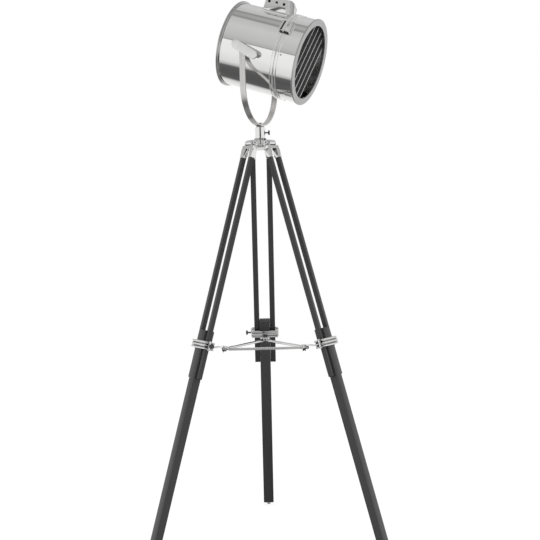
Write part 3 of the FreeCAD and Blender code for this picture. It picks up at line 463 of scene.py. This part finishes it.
def black_timber():
    return painted("Black painted timber", bpy.context.scene.lamp_finish.timber)


def black_screw():
    return painted("Blackened screw", 0.03, "Object", (500.0, 500.0, 500.0), 0.25, 0.4)


def slat_paint():
    return painted("Slat dark enamel", 0.07, "UV", (300.0, 30.0, 1.0), 0.16, 0.28)


def black_plastic():
    return painted("Black moulded plastic", 0.02, "Object", (700.0, 700.0, 700.0), 0.45, 0.6)


def frosted_glass():
    return painted("Frosted bulb glass", 0.5, "Object", (300.0, 300.0, 300.0), 0.4, 0.5, depth=0.01 * MM)


def dress(piece, body, material, slot_name, *nodes):
    """Give a new piece its body and finish, and hide the nodes it stands for. The slot name is not used."""
    piece.data.materials.clear()
    piece.data.materials.append(material)
    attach(piece, body)
    if nodes:
        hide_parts(*nodes)
    return piece


# ---- sizes a user may change ------------------------------------------------------------
def length(name, default, about):
    return bpy.props.FloatProperty(name=name, description=about, default=default, min=0.0,
                                   subtype="DISTANCE", unit="LENGTH")


class DrumSizes(bpy.types.PropertyGroup):
    radius: length("Drum radius", 112 * MM, "Outside radius of the barrel")
    wall: length("Wall", 1.5 * MM, "Thickness of the rolled sheet")
    lift: length("Lift", 6.8 * MM, "Drum's axis above the tilt axis")
    rear: length("Rear", 70 * MM, "Barrel's rear edge behind the tilt axis")
    front: length("Front", 93.6 * MM, "Barrel's front edge ahead of the tilt axis")
    ring: length("Ring radius", 116 * MM, "Outside radius of the beaded ring")
    bead: length("Bead radius", 1.1 * MM, "Radius of each rolled bead")


class HoodSizes(bpy.types.PropertyGroup):
    radius: length("Collar radius", 114 * MM, "Outside radius of the front collar")
    start: length("Start", 94.1 * MM, "Collar's rear edge ahead of the tilt axis")
    face: length("Face", 152.4 * MM, "Bezel's face ahead of the tilt axis")
    bezel: length("Bezel radius", 116.9 * MM, "Outside radius of the bezel")
    opening: length("Opening radius", 98.8 * MM, "Radius of the round opening")
    slat_pitch: length("Slat pitch", 27.5 * MM, "Distance between slats")
    slat_depth: length("Slat depth", 18 * MM, "Depth of a slat along the drum")
    slat_thick: length("Slat thickness", 1.6 * MM, "Thickness of a slat")
    slats: bpy.props.IntProperty(name="Slats", description="Number of slats", default=5, min=1)
    slat_lean: bpy.props.FloatProperty(name="Slat lean", description="Lean of the slats from upright",
                                       default=np.radians(29.0), subtype="ANGLE")


class YokeSizes(bpy.types.PropertyGroup):
    half: length("Inner half-width", 118.6 * MM, "From the middle to an arm's inner face")
    thick: length("Thickness", 3 * MM, "Thickness of the strip")
    width: length("Width", 16 * MM, "Width of the strip")
    drop: length("Drop", 200.8 * MM, "From the tilt axis to the bow's underside")
    bow: length("Bow height", 105 * MM, "Height of the curved part")


class LegSizes(bpy.types.PropertyGroup):
    rail_width: length("Rail width", 15 * MM, "Rail's size across the leg")
    rail_depth: length("Rail depth", 12 * MM, "Rail's size out from the stand")
    rail_inner: length("Rail inner face", 15.2 * MM, "Rail's inner face from the leg's middle")
    rail_top: length("Rail top", 20.3 * MM, "Rail's top below the hinge pin")
    rail_end: length("Rail end", 656 * MM, "Rail's lower end below the hinge pin")
    lower_width: length("Lower leg width", 30 * MM, "Lower leg's size across the leg")
    lower_depth: length("Lower leg depth", 21 * MM, "Lower leg's size out from the stand")
    lower_top: length("Lower leg top", 524.2 * MM, "Lower leg's top below the hinge pin")
    lower_end: length("Lower leg end", 1122.5 * MM, "Lower leg's end below the hinge pin")
    stop_length: length("Stop length", 28.5 * MM, "Length of the thicker stop head")
    stop_extra: length("Stop depth", 7 * MM, "How far the stop head stands inward")
    corner: length("Corner", 1.4 * MM, "Rounding of the timber's edges")


class FinishSettings(bpy.types.PropertyGroup):
    timber: bpy.props.FloatProperty(name="Timber level", description="Lightness of the black paint",
                                    default=0.0204, min=0.0, max=1.0)
    fill: bpy.props.FloatProperty(name="Fill", description="Level of the even studio light",
                                  default=0.9, min=0.0)


# ---- the head ---------------------------------------------------------------------------
def beads(start, end, radius, bead, steps=10):
    """Two half-round beads side by side with a groove between them, as (x, r) points.

    Each bead is the upper half of a circle of radius bead about (x, radius - bead).
    """
    angle = np.linspace(np.pi, 0, steps)
    flat = radius - bead
    middles = (start + bead, end - bead)
    return np.concatenate([np.stack([middle + bead * np.cos(angle), flat + bead * np.sin(angle)], 1)
                           for middle in middles])


class LAMP_OT_drum(bpy.types.Operator):
    """Barrel with its beaded front ring and the two pivot bosses"""
    bl_idname = "lamp.drum"
    bl_label = "Drum"

    def execute(self, context):
        size = context.scene.lamp_drum
        place = head_place(size.lift)
        ring_start = size.front - 9 * MM
        soft, swell = 0.3 * MM, 0.4 * MM
        outer = [(-size.rear, size.radius - soft), (-size.rear + soft, size.radius),
                 (ring_start - swell, size.radius), (ring_start, size.radius + swell)]
        ring = beads(ring_start, size.front, size.ring, size.bead)
        inner = [(size.front, size.radius - size.wall), (-size.rear, size.radius - size.wall)]
        outline = np.concatenate([outer, ring, inner])
        barrel = grid_piece("drum_barrel", turned_grid(place, outline, 256), close_v=True)
        dress(barrel, "head", sheet_chrome(), "chrome", "drum_shell")
        face, boss, chamfer = size.radius + size.wall, 13 * MM, 0.5 * MM
        root = face - 9 * MM
        profile = [(root, 0), (root, boss), (face - chamfer, boss), (face, boss - chamfer), (face, 0)]
        centre = place.put(0.0, 0.0, -size.lift)
        bosses = [turned_grid(Place(centre, side * place.y, place.x), profile, 48) for side in (-1, 1)]
        dress(grid_piece("pivot_bosses", bosses), "head", fitting_chrome(), "chrome")
        return {"FINISHED"}


class LAMP_OT_rear_cover(bpy.types.Operator):
    """Pressed rear lid with a double-rolled rim and a shallow ring"""
    bl_idname = "lamp.rear_cover"
    bl_label = "Rear cover"

    def execute(self, context):
        size = context.scene.lamp_drum
        place = head_place(size.lift)
        back, seat = -74.1 * MM, -70.2 * MM
        rim, collar = 116.6 * MM, 112.2 * MM
        roll_long, roll_high = 2.0 * MM, 1.6 * MM
        sunk, raised = back + 1.6 * MM, back + 0.4 * MM
        angle = np.linspace(np.pi, 0, 9)
        roll_x, roll_radius = roll_long * np.cos(angle), rim - roll_high + roll_high * np.sin(angle)
        rolls = [np.stack([middle + roll_x, roll_radius], 1) for middle in (back + 2.0 * MM, back + 6.2 * MM)]
        corners = [(sunk, 60 * MM), (raised, 64 * MM), (raised, 78 * MM), (sunk, 82 * MM)]
        dish = rounded(corners, 1.5 * MM, 4)[2:-2]
        outline = np.concatenate([[(sunk, 0.0)], dish, [(sunk, 105 * MM), (back, 107 * MM)], *rolls,
                                  [(back + 8.3 * MM, collar), (seat, collar), (seat, 0.0)]])
        lid = grid_piece("rear_lid", turned_grid(place, outline, 256))
        dress(lid, "head", rim_chrome(), "chrome", "rear_cover")
        return {"FINISHED"}


class LAMP_OT_hood(bpy.types.Operator):
    """Front collar with its beaded ring, and the satin bezel round the opening"""
    bl_idname = "lamp.hood"
    bl_label = "Hood"

    def execute(self, context):
        drum, size = context.scene.lamp_drum, context.scene.lamp_hood
        place = head_place(drum.lift)
        back, wall = size.face - 4 * MM, 1.5 * MM
        inner = size.radius - wall
        ring_end = size.start + 8.3 * MM
        ring = beads(size.start, ring_end, drum.ring, drum.bead)
        sheet = [(ring_end + 0.3 * MM, size.radius), (back, size.radius), (back, inner)]
        outline = np.concatenate([[(size.start, inner)], ring, sheet])
        collar = grid_piece("hood_barrel", turned_grid(place, outline, 256), close_v=True)
        dress(collar, "hood", sheet_chrome(), "chrome", "hood_collar")
        spigot, spigot_end = inner - 0.15 * MM, back - 8 * MM
        flange = rounded([(back, spigot), (back, size.bezel), (size.face, size.bezel),
                          (size.face, size.opening), (back, size.opening), (back, spigot - wall),
                          (spigot_end, spigot - wall), (spigot_end, spigot)], 0.9 * MM)
        bezel = grid_piece("front_flange", turned_grid(place, flange, 256), close_v=True)
        dress(bezel, "hood", bezel_silver(), "chrome", "front_bezel")
        return {"FINISHED"}


class LAMP_OT_louvre(bpy.types.Operator):
    """Dark slats with bright rolled edges across the front opening"""
    bl_idname = "lamp.louvre"
    bl_label = "Louvre"

    def execute(self, context):
        drum, size = context.scene.lamp_drum, context.scene.lamp_hood
        place = head_place(drum.lift)
        lean = -size.slat_lean
        upright = Place(place.origin, place.x, place.y * np.cos(lean) + place.z * np.sin(lean))
        front = size.face - 7 * MM
        room = size.radius - 3.45 * MM
        edge = size.slat_thick / 2
        angle = np.linspace(-np.pi / 2, np.pi / 2, 7)
        sides, edges = [], []
        for index in range(size.slats):
            across = (index - (size.slats - 1) / 2) * size.slat_pitch
            reach = np.sqrt(room ** 2 - (abs(across) + edge) ** 2)
            x = np.concatenate([front - edge + edge * np.cos(angle),
                                front - size.slat_depth + edge - edge * np.cos(angle)])
            y = across + np.concatenate([edge * np.sin(angle), edge * np.sin(angle[::-1])])
            z = np.linspace(-reach, reach, 9)[None, :]
            sides.append(upright.put(x[:, None] + 0 * z, y[:, None] + 0 * z, z))
            bulge = 1.06 * edge
            nose_y = across + np.concatenate([bulge * np.sin(angle), [bulge, -bulge]])
            for tip, way in ((front, 1), (front - size.slat_depth, -1)):
                nose_x = tip - way * edge + way * np.concatenate([bulge * np.cos(angle), [-2 * edge] * 2])
                edges.append(upright.put(nose_x[:, None] + 0 * z, nose_y[:, None] + 0 * z, z))
        plates = grid_piece("louvre_plates", sides, caps=True)
        dress(plates, "hood", slat_paint(), "black_paint", "louvre_slats")
        dress(grid_piece("louvre_edges", edges, caps=True), "hood", pale_chrome(), "chrome")
        return {"FINISHED"}


class LAMP_OT_lamp(bpy.types.Operator):
    """Bowl reflector, and frosted bulb with its threaded cap"""
    bl_idname = "lamp.lamp"
    bl_label = "Reflector and bulb"

    def execute(self, context):
        size = context.scene.lamp_drum
        place = head_place(size.lift)
        sheet, seat, lip = 1.2 * MM, 110.3 * MM, 66 * MM
        radius = np.linspace(25 * MM, 104 * MM, 33)
        rise = (radius ** 2 - radius[0] ** 2) / (radius[-1] ** 2 - radius[0] ** 2)
        x = (-38 + 104 * rise) * MM
        back = np.stack([x, radius], 1)
        face = np.stack([x + sheet, radius - sheet], 1)
        outline = np.concatenate([back, [(lip, seat), (lip + sheet, seat)], face[::-1]])
        bowl = grid_piece("reflector_bowl", turned_grid(place, outline, 160), close_v=True, sharp_degrees=50)
        dress(bowl, "head", bowl_metal(), "aluminium", "reflector")
        globe_radius, globe_middle, neck_start = 30 * MM, 26 * MM, -34 * MM
        t = np.linspace(0, 1, 12)
        neck = np.stack([neck_start + 38 * MM * t, (12.6 + 6.8 * t ** 2.2) * MM], 1)
        polar = np.linspace(np.arccos(-0.7333), 0, 26)
        globe = np.stack([globe_middle + globe_radius * np.cos(polar), globe_radius * np.sin(polar)], 1)
        glass = np.concatenate([[(neck_start, 0.0)], neck[:-1], globe])
        bulb = grid_piece("bulb_glass", turned_grid(place, glass, 96), sharp_degrees=50)
        dress(bulb, "head", frosted_glass(), "glass", "bulb")
        cap_end, contact, pitch = -34.2 * MM, -63.8 * MM, 3.6 * MM
        along = np.linspace(-62.5 * MM, cap_end, 70)
        thread = np.stack([along, 12.2 * MM + 0.5 * MM * np.cos(TURN * along / pitch)], 1)
        cap = np.concatenate([[(contact, 0.0), (contact, 5 * MM)], thread, [(cap_end, 0.0)]])
        dress(grid_piece("bulb_cap", turned_grid(place, cap, 64)), "head", plain_steel(), "steel")
        return {"FINISHED"}


class LAMP_OT_yoke(bpy.types.Operator):
    """Flat brushed strip carried along straight arms and a half-ellipse bow"""
    bl_idname = "lamp.yoke"
    bl_label = "Yoke"

    def execute(self, context):
        size = context.scene.lamp_yoke
        place = yoke_place()
        half, thick = size.half, size.thick
        end = size.width / 2
        straight = size.drop - size.bow
        middle_half = half + thick / 2
        middle_bow = size.bow - thick / 2
        tip = end * (1 - np.cos(np.linspace(0, np.pi / 2, 14)))
        arm = np.concatenate([end - tip, np.linspace(0, -straight, 14)[1:]])
        sweep = np.linspace(0, np.pi, 121)[1:-1]
        y = np.concatenate([-middle_half + 0 * arm, -middle_half * np.cos(sweep), middle_half + 0 * arm])
        z = np.concatenate([arm, -straight - middle_bow * np.sin(sweep), arm[::-1]])
        normal_y = np.concatenate([-1 + 0 * arm, -np.cos(sweep) / middle_half, 1 + 0 * arm])
        normal_z = np.concatenate([0 * arm, -np.sin(sweep) / middle_bow, 0 * arm])
        long = np.hypot(normal_y, normal_z)
        normal_y, normal_z = normal_y / long, normal_z / long
        width = np.where(z > 0, np.sqrt(np.maximum(end ** 2 - z ** 2, 1e-12)), end)
        section = rounded([(-1, -1), (1, -1), (1, 1), (-1, 1)], 0.09, 4)
        deep = section[:, 1][:, None] * thick / 2
        x = section[:, 0][:, None] * width[None, :]
        strip = place.put(x, y[None, :] + deep * normal_y[None, :], z[None, :] + deep * normal_z[None, :])
        dress(grid_piece("yoke_strip", strip, caps=True), "yoke", brushed_nickel(), "nickel", "yoke")
        return {"FINISHED"}


class LAMP_OT_vent_details(bpy.types.Operator):
    """Domed rivets in a row along the vent's saddle"""
    bl_idname = "lamp.vent_details"
    bl_label = "Vent rivets"

    def execute(self, context):
        size = context.scene.lamp_drum
        place = head_place(size.lift)
        radius, sunk = 1.9 * MM, 0.5 * MM
        angle = np.radians(22.2)
        out = -np.sin(angle) * place.y + np.cos(angle) * place.z
        foot = size.radius + 1.6 * MM
        t = np.linspace(0, np.pi / 2, 8)
        dome = np.stack([radius * 0.6 * np.cos(t), radius * np.sin(t)], 1)
        profile = np.concatenate([dome, [(-sunk, radius), (-sunk, 0.0)]])
        heads = [turned_grid(Place(place.origin + x * MM * place.x + foot * out, out, place.x), profile, 24)
                 for x in (9.0, 30.5, 52.0)]
        dress(grid_piece("vent_rivets", heads), "head", plain_steel(), "steel")
        return {"FINISHED"}


# ---- the stand --------------------------------------------------------------------------
class LAMP_OT_timber(bpy.types.Operator):
    """Rails and lower legs with soft rounded edges"""
    bl_idname = "lamp.timber"
    bl_label = "Timber"

    def execute(self, context):
        size = context.scene.lamp_legs
        for name in LEGS:
            place = leg_place(name)
            outer = size.rail_inner + size.rail_width
            half = size.rail_depth / 2
            rails = [rounded_bar(place, (-half, low, -size.rail_end), (half, high, -size.rail_top),
                                 size.corner)
                     for low, high in ((-outer, -size.rail_inner), (size.rail_inner, outer))]
            rails = grid_piece("rails_" + name, rails, caps=True)
            dress(rails, "leg_" + name, black_timber(), "black_wood", "upper_rails_" + name)
            deep, wide = size.lower_depth / 2, size.lower_width / 2
            shaft = rounded_bar(place, (-deep, -wide, -size.lower_end), (deep, wide, -size.lower_top),
                                size.corner)
            stop = rounded_bar(place, (-deep - size.stop_extra, -wide, -size.lower_top - size.stop_length),
                               (0.0, wide, -size.lower_top), size.corner)
            lower = grid_piece("lower_shaft_" + name, [shaft, stop], caps=True)
            dress(lower, "extension_" + name, black_timber(), "black_wood", "lower_leg_" + name)
        return {"FINISHED"}


def knurled_screw(start, way, shank_radius, shank_length, head_radius, head_length):
    """Thumb screw: a shank and a head whose rim waves in and out around its axis.

    The head's radius is r (0.95 + 0.045 cos(28 a)) at angle a, and its ends stay round.
    """
    side = (0, 0, 1) if abs(way[2]) < 0.8 else (1, 0, 0)
    place = Place(start, way, side)
    top = shank_length + head_length
    edge = 0.7 * MM
    outline = [(0.0, 0.0), (0.0, shank_radius), (shank_length - edge, shank_radius),
               (shank_length, shank_radius * 1.6), (shank_length, head_radius - edge),
               (shank_length + edge, head_radius), (shank_length + 1.4 * edge, head_radius),
               (top - 1.4 * edge, head_radius), (top - edge, head_radius), (top, head_radius - edge),
               (top, head_radius * 0.55), (top - edge, head_radius * 0.5), (top - edge, 0.0)]

    def wave(x, angle):
        inside = (x > shank_length + 1.2 * edge) & (x < top - 1.2 * edge)
        return np.where(inside, -0.05 + 0.045 * np.cos(28 * angle), 0.0)

    return turned_grid(place, outline, 168, wave)


class LAMP_OT_thumb_screws(bpy.types.Operator):
    """Knurled thumb screws of the clamps and the pan lock"""
    bl_idname = "lamp.thumb_screws"
    bl_label = "Thumb screws"

    def execute(self, context):
        head = 6.4 * MM
        for name in LEGS:
            joint = JOINTS["clamp_screw_" + name]
            place = leg_place(name)
            clamp = np.dot(np.array(joint["pos_m"]) - place.origin, place.z)
            start = place.put(0.0, 40.75 * MM, clamp)
            screw = knurled_screw(start, np.array(joint["axis"]), 2.2 * MM, 9 * MM, head, 5 * MM)
            dress(grid_piece("clamp_thumb_" + name, screw, sharp_degrees=30), "knob_" + name,
                  black_screw(), "black_metal", "clamp_knob_" + name)
        joint = JOINTS["pan_lock_turn"]
        way = np.array(joint["axis"])
        start = np.array(joint["pos_m"]) + way * 9.6 * MM
        screw = knurled_screw(start, way, 1.95 * MM, 12 * MM, head, 4.6 * MM)
        dress(grid_piece("pan_thumb", screw, sharp_degrees=30), "pan_lock", black_screw(),
              "black_metal", "pan_lock_screw")
        return {"FINISHED"}


def slotted_head(base, out, radius, height, slot_turn):
    """Domed screw head with a slot: the dome less a smooth trench across its middle.

    The dome is h (1 - 0.75 p^2) high at share p of the radius; the trench is 0.55 h deep.
    """
    side = (0, 0, 1) if abs(out[2]) < 0.8 else (1, 0, 0)
    place = Place(base, out, side)
    share = np.linspace(0, 1, 15)[None, :]
    angle = np.linspace(0, TURN, 48, endpoint=False)[:, None]
    y = radius * share * np.cos(angle)
    z = radius * share * np.sin(angle)
    dome = height * (1 - 0.75 * share ** 2)
    off = np.abs(-np.sin(slot_turn) * y + np.cos(slot_turn) * z) / (0.2 * radius)
    trench = 0.55 * height * np.clip(1.6 - off, 0, 1) * (share < 0.95)
    foot = np.full_like(angle, -0.6 * MM)
    wall_x = np.concatenate([dome - trench, foot, foot], 1)
    wall_y = np.concatenate([y, y[:, -1:], 0 * y[:, -1:]], 1)
    wall_z = np.concatenate([z, z[:, -1:], 0 * z[:, -1:]], 1)
    return place.put(wall_x, wall_y, wall_z)


class LAMP_OT_slotted_screws(bpy.types.Operator):
    """Slotted round heads on the ferrules and round the hood"""
    bl_idname = "lamp.slotted_screws"
    bl_label = "Slotted screws"

    def execute(self, context):
        drum, hood = context.scene.lamp_drum, context.scene.lamp_hood
        size = context.scene.lamp_legs
        middle = size.rail_inner + size.rail_width / 2
        ferrule_face = -size.rail_depth / 2 - 1.2 * MM
        screw_line, hood_line = -30.3 * MM, 108.3 * MM
        for name in LEGS:
            place = leg_place(name)
            heads = [slotted_head(place.put(ferrule_face, side * middle, screw_line), -place.x,
                                  2.2 * MM, 1.35 * MM, 0.6 + side) for side in (-1, 1)]
            dress(grid_piece("ferrule_heads_" + name, heads), "leg_" + name, plain_steel(), "chrome",
                  "ferrule_screws_" + name)
        place = head_place(drum.lift)
        heads = []
        for index in range(4):
            angle = index * TURN / 4
            out = -np.sin(angle) * place.y + np.cos(angle) * place.z
            base = place.origin + hood_line * place.x + hood.radius * out
            heads.append(slotted_head(base, out, 2.6 * MM, 1.55 * MM, 0.4 + index))
        dress(grid_piece("hood_heads", heads), "hood", plain_steel(), "chrome", "hood_screws")
        return {"FINISHED"}


def hinge_gap(lift):
    """Dark strips that paint the shadow in the hinge's gaps: along the root of its knuckles and on the front
    leaf's edge.
    """
    drum = head_place(lift)
    pin = np.array(JOINTS["hood_opening"]["pos_m"])
    out = pin - drum.origin
    place = Place(pin, drum.x, np.cross(out, drum.x))
    leaf_top, half, thick, corner = 1.0 * MM, 16.5 * MM, 0.35 * MM, 0.15 * MM
    spans = ((-8.5 * MM, -4.3 * MM), (19.0 * MM, 19.9 * MM))
    strips = [rounded_bar(place, (start, -half, leaf_top), (end, half, leaf_top + thick), corner)
              for start, end in spans]
    return grid_piece("hinge_gap", strips, caps=True)


class LAMP_OT_castings(bpy.types.Operator):
    """The frame's own metal pieces, merged and shaded, with their finishes"""
    bl_idname = "lamp.castings"
    bl_label = "Castings and fittings"

    def execute(self, context):
        plan = [
            (("hub_casting", "receiver_tube", "hinge_pin_nuts", "far_pivot_bolt", "vent_cap"),
             fitting_chrome, "chrome"),
            (("hinge_leaf_drum", "hinge_leaf_hood"), pale_chrome, "chrome"),
            (("leg_hinge_pins", "hinge_pin_front", "yoke_nut"), plain_steel, "steel"),
            (("yoke_stem",), plain_steel, "nickel"),
            (("tilt_knob",), pale_chrome, "chrome"),
            (("cable_gland", "lamp_holder"), black_plastic, "black_plastic"),
        ]
        for name in LEGS:
            per_leg = tuple(kind + "_" + name for kind in (
                "leg_head", "rail_ferrules", "clamp_outer", "clamp_inner", "clamp_bolts", "brace_rod"))
            plan.append((per_leg, fitting_chrome, "chrome"))
            plan.append((("foot_tip_" + name,), plain_steel, "steel"))
            plan.append((("brace_screw_" + name,), black_screw, "black_metal"))
        # Painted shadow: dark strips laid on the hinge where its gaps are in shade.
        dress(hinge_gap(context.scene.lamp_drum.lift), "head", hinge_shadow_steel(), "chrome")
        for nodes, finish_of, slot_name in plan:
            for node in nodes:
                piece = merged_copy(node)
                piece.data.materials.clear()
                piece.data.materials.append(finish_of())
        return {"FINISHED"}


# ---- stage ------------------------------------------------------------------------------
def seen_directly(tree):
    """Two values that are one for a ray from the camera or through glass, and for a mirrored ray."""
    path = add_node(tree, "ShaderNodeLightPath")
    both = add_node(tree, "ShaderNodeMath", operation="MAXIMUM")
    tree.links.new(path.outputs["Is Camera Ray"], both.inputs[0])
    tree.links.new(path.outputs["Is Transmission Ray"], both.inputs[1])
    return both.outputs["Value"], path.outputs["Is Glossy Ray"]


def studio_world(fill):
    """White behind the lamp; polished metal sees a ceiling, a white wall, a dim floor and the camera."""
    world = bpy.data.worlds.new("Studio")
    bpy.context.scene.world = world
    world.use_nodes = True
    tree = world.node_tree
    tree.nodes.clear()
    target = add_node(tree, "ShaderNodeOutputWorld")
    direct, glossy = seen_directly(tree)
    place = add_node(tree, "ShaderNodeTexCoord")
    parts = add_node(tree, "ShaderNodeSeparateXYZ")
    height = add_node(tree, "ShaderNodeMapRange", From_Min=-1.0)
    ramp = add_node(tree, "ShaderNodeValToRGB")
    bands = [(0.0, 0.42), (0.035, 0.4), (0.07, 0.16), (0.11, 0.1), (0.15, 0.13), (0.166, 0.55), (0.2, 0.85),
             (0.35, 0.97), (0.59, 1.0), (0.6, 0.8), (0.606, 0.22), (0.618, 0.5), (0.7, 0.6), (0.9, 0.68),
             (0.982, 0.6), (0.99, 0.26), (1.0, 0.5)]
    stops = ramp.color_ramp.elements
    while len(stops) < len(bands):
        stops.new(0.5)
    for stop, (at, level) in zip(stops, bands):
        stop.position = at
        stop.color = grey(level)
    toward_camera = add_node(tree, "ShaderNodeMapRange", From_Min=-0.99, From_Max=-0.94, To_Min=0.1)
    shaded = add_node(tree, "ShaderNodeMix", data_type="RGBA", blend_type="MULTIPLY", Factor=1.0)
    even = add_node(tree, "ShaderNodeBackground", Color=(1, 1, 1, 1), Strength=fill)
    mirrored = add_node(tree, "ShaderNodeBackground", Strength=1.0)
    white = add_node(tree, "ShaderNodeBackground", Color=(1, 1, 1, 1), Strength=1.0)
    gloss_mix = add_node(tree, "ShaderNodeMixShader")
    direct_mix = add_node(tree, "ShaderNodeMixShader")
    tree.links.new(place.outputs["Generated"], parts.inputs["Vector"])
    tree.links.new(parts.outputs["Z"], height.inputs["Value"])
    tree.links.new(height.outputs["Result"], ramp.inputs["Fac"])
    tree.links.new(parts.outputs["Y"], toward_camera.inputs["Value"])
    tree.links.new(ramp.outputs["Color"], shaded.inputs["A"])
    tree.links.new(toward_camera.outputs["Result"], shaded.inputs["B"])
    tree.links.new(shaded.outputs["Result"], mirrored.inputs["Color"])
    tree.links.new(glossy, gloss_mix.inputs["Fac"])
    tree.links.new(even.outputs["Background"], gloss_mix.inputs[1])
    tree.links.new(mirrored.outputs["Background"], gloss_mix.inputs[2])
    tree.links.new(direct, direct_mix.inputs["Fac"])
    tree.links.new(gloss_mix.outputs["Shader"], direct_mix.inputs[1])
    tree.links.new(white.outputs["Background"], direct_mix.inputs[2])
    tree.links.new(direct_mix.outputs["Shader"], target.inputs["Surface"])


def floor():
    """Plain pale floor that stays white to the camera and keeps a soft shadow."""
    reach = 4.0
    mesh = bpy.data.meshes.new("floor")
    mesh.from_pydata([(-reach, -reach, 0), (reach, -reach, 0), (reach, reach, 0), (-reach, reach, 0)],
                     [], [(0, 1, 2, 3)])
    plane = bpy.data.objects.new("floor", mesh)
    bpy.context.scene.collection.objects.link(plane)
    plane.visible_glossy = False
    material = bpy.data.materials.new("Pale floor")
    material.use_nodes = True
    tree = material.node_tree
    tree.nodes.clear()
    target = add_node(tree, "ShaderNodeOutputMaterial")
    direct = seen_directly(tree)[0]
    share = add_node(tree, "ShaderNodeMath", operation="MULTIPLY")
    share.inputs[1].default_value = 0.75
    matt = add_node(tree, "ShaderNodeBsdfDiffuse", Color=(0.9, 0.9, 0.9, 1))
    glow = add_node(tree, "ShaderNodeEmission", Color=(1, 1, 1, 1), Strength=1.08)
    mix = add_node(tree, "ShaderNodeMixShader")
    tree.links.new(direct, share.inputs[0])
    tree.links.new(share.outputs["Value"], mix.inputs["Fac"])
    tree.links.new(matt.outputs["BSDF"], mix.inputs[1])
    tree.links.new(glow.outputs["Emission"], mix.inputs[2])
    tree.links.new(mix.outputs["Shader"], target.inputs["Surface"])
    mesh.materials.append(material)


def softbox(name, place, target, size, power):
    """Square area lamp at a place, pointing at a target."""
    light = bpy.data.lights.new(name, "AREA")
    light.size = size
    light.energy = power
    lamp = bpy.data.objects.new(name, light)
    lamp.location = place
    lamp.rotation_euler = (Vector(target) - Vector(place)).to_track_quat("-Z", "Y").to_euler()
    bpy.context.scene.collection.objects.link(lamp)
    return lamp


class LAMP_OT_stage(bpy.types.Operator):
    """Floor, soft light and the camera at the photograph's view"""
    bl_idname = "lamp.stage"
    bl_label = "Stage"

    def execute(self, context):
        scene = context.scene
        scene.view_settings.view_transform = "Standard"
        studio_world(scene.lamp_finish.fill)
        floor()
        middle = (0.0, -0.1, 1.0)
        key = softbox("key_softbox", (-1.6, -2.4, 2.6), middle, 1.6, 26.0)
        edge = softbox("edge_softbox", (2.2, 0.8, 1.8), middle, 1.2, 12.0)
        for lamp in (key, edge):
            lamp.visible_glossy = False
        camera = bpy.data.cameras.new("photo_camera")
        camera.sensor_width = 36.0
        camera.lens = 84.957
        camera.clip_end = 50.0
        eye = bpy.data.objects.new("photo_camera", camera)
        pan = JOINTS["pan"]["pos_m"]
        pitch, roll = 0.0575, -0.0213
        aside, away, eye_height = 18.7 * MM, 3.5, 938 * MM
        right = np.array([1.0, 0.0, 0.0])
        ahead = np.array([0.0, np.cos(pitch), -np.sin(pitch)])
        up = np.cross(right, ahead)
        level_x = np.cos(roll) * right + np.sin(roll) * up
        level_y = -np.sin(roll) * right + np.cos(roll) * up
        stand = np.array([pan[0] + aside, pan[1] - away, eye_height])
        rows = np.stack([level_x, level_y, -ahead, stand], 1)
        eye.matrix_world = Matrix(rows.tolist() + [[0, 0, 0, 1]])
        scene.collection.objects.link(eye)
        scene.camera = eye
        return {"FINISHED"}


class LAMP_PT_panel(bpy.types.Panel):
    """Lists the lamp's pieces"""
    bl_idname = "LAMP_PT_panel"
    bl_label = "Tripod spotlight lamp"
    bl_space_type = "VIEW_3D"
    bl_region_type = "UI"
    bl_category = "Lamp"

    def draw(self, context):
        for step in STEPS:
            self.layout.operator(step.bl_idname)


STEPS = (LAMP_OT_stage, LAMP_OT_castings, LAMP_OT_drum, LAMP_OT_rear_cover, LAMP_OT_hood, LAMP_OT_louvre,
         LAMP_OT_lamp, LAMP_OT_yoke, LAMP_OT_vent_details, LAMP_OT_timber, LAMP_OT_thumb_screws,
         LAMP_OT_slotted_screws)
SETTINGS = {"lamp_drum": DrumSizes, "lamp_hood": HoodSizes, "lamp_yoke": YokeSizes, "lamp_legs": LegSizes,
            "lamp_finish": FinishSettings}


def register():
    for settings in SETTINGS.values():
        bpy.utils.register_class(settings)
    for name, settings in SETTINGS.items():
        setattr(bpy.types.Scene, name, bpy.props.PointerProperty(type=settings))
    for step in STEPS + (LAMP_PT_panel,):
        bpy.utils.register_class(step)


def unregister():
    for step in (LAMP_PT_panel,) + STEPS[::-1]:
        bpy.utils.unregister_class(step)
    for name in SETTINGS:
        delattr(bpy.types.Scene, name)
    for settings in reversed(SETTINGS.values()):
        bpy.utils.unregister_class(settings)


def main():
    register()
    for step in STEPS:
        family, action = step.bl_idname.split(".")
        getattr(getattr(bpy.ops, family), action)()


if __name__ == "__main__":
    main()
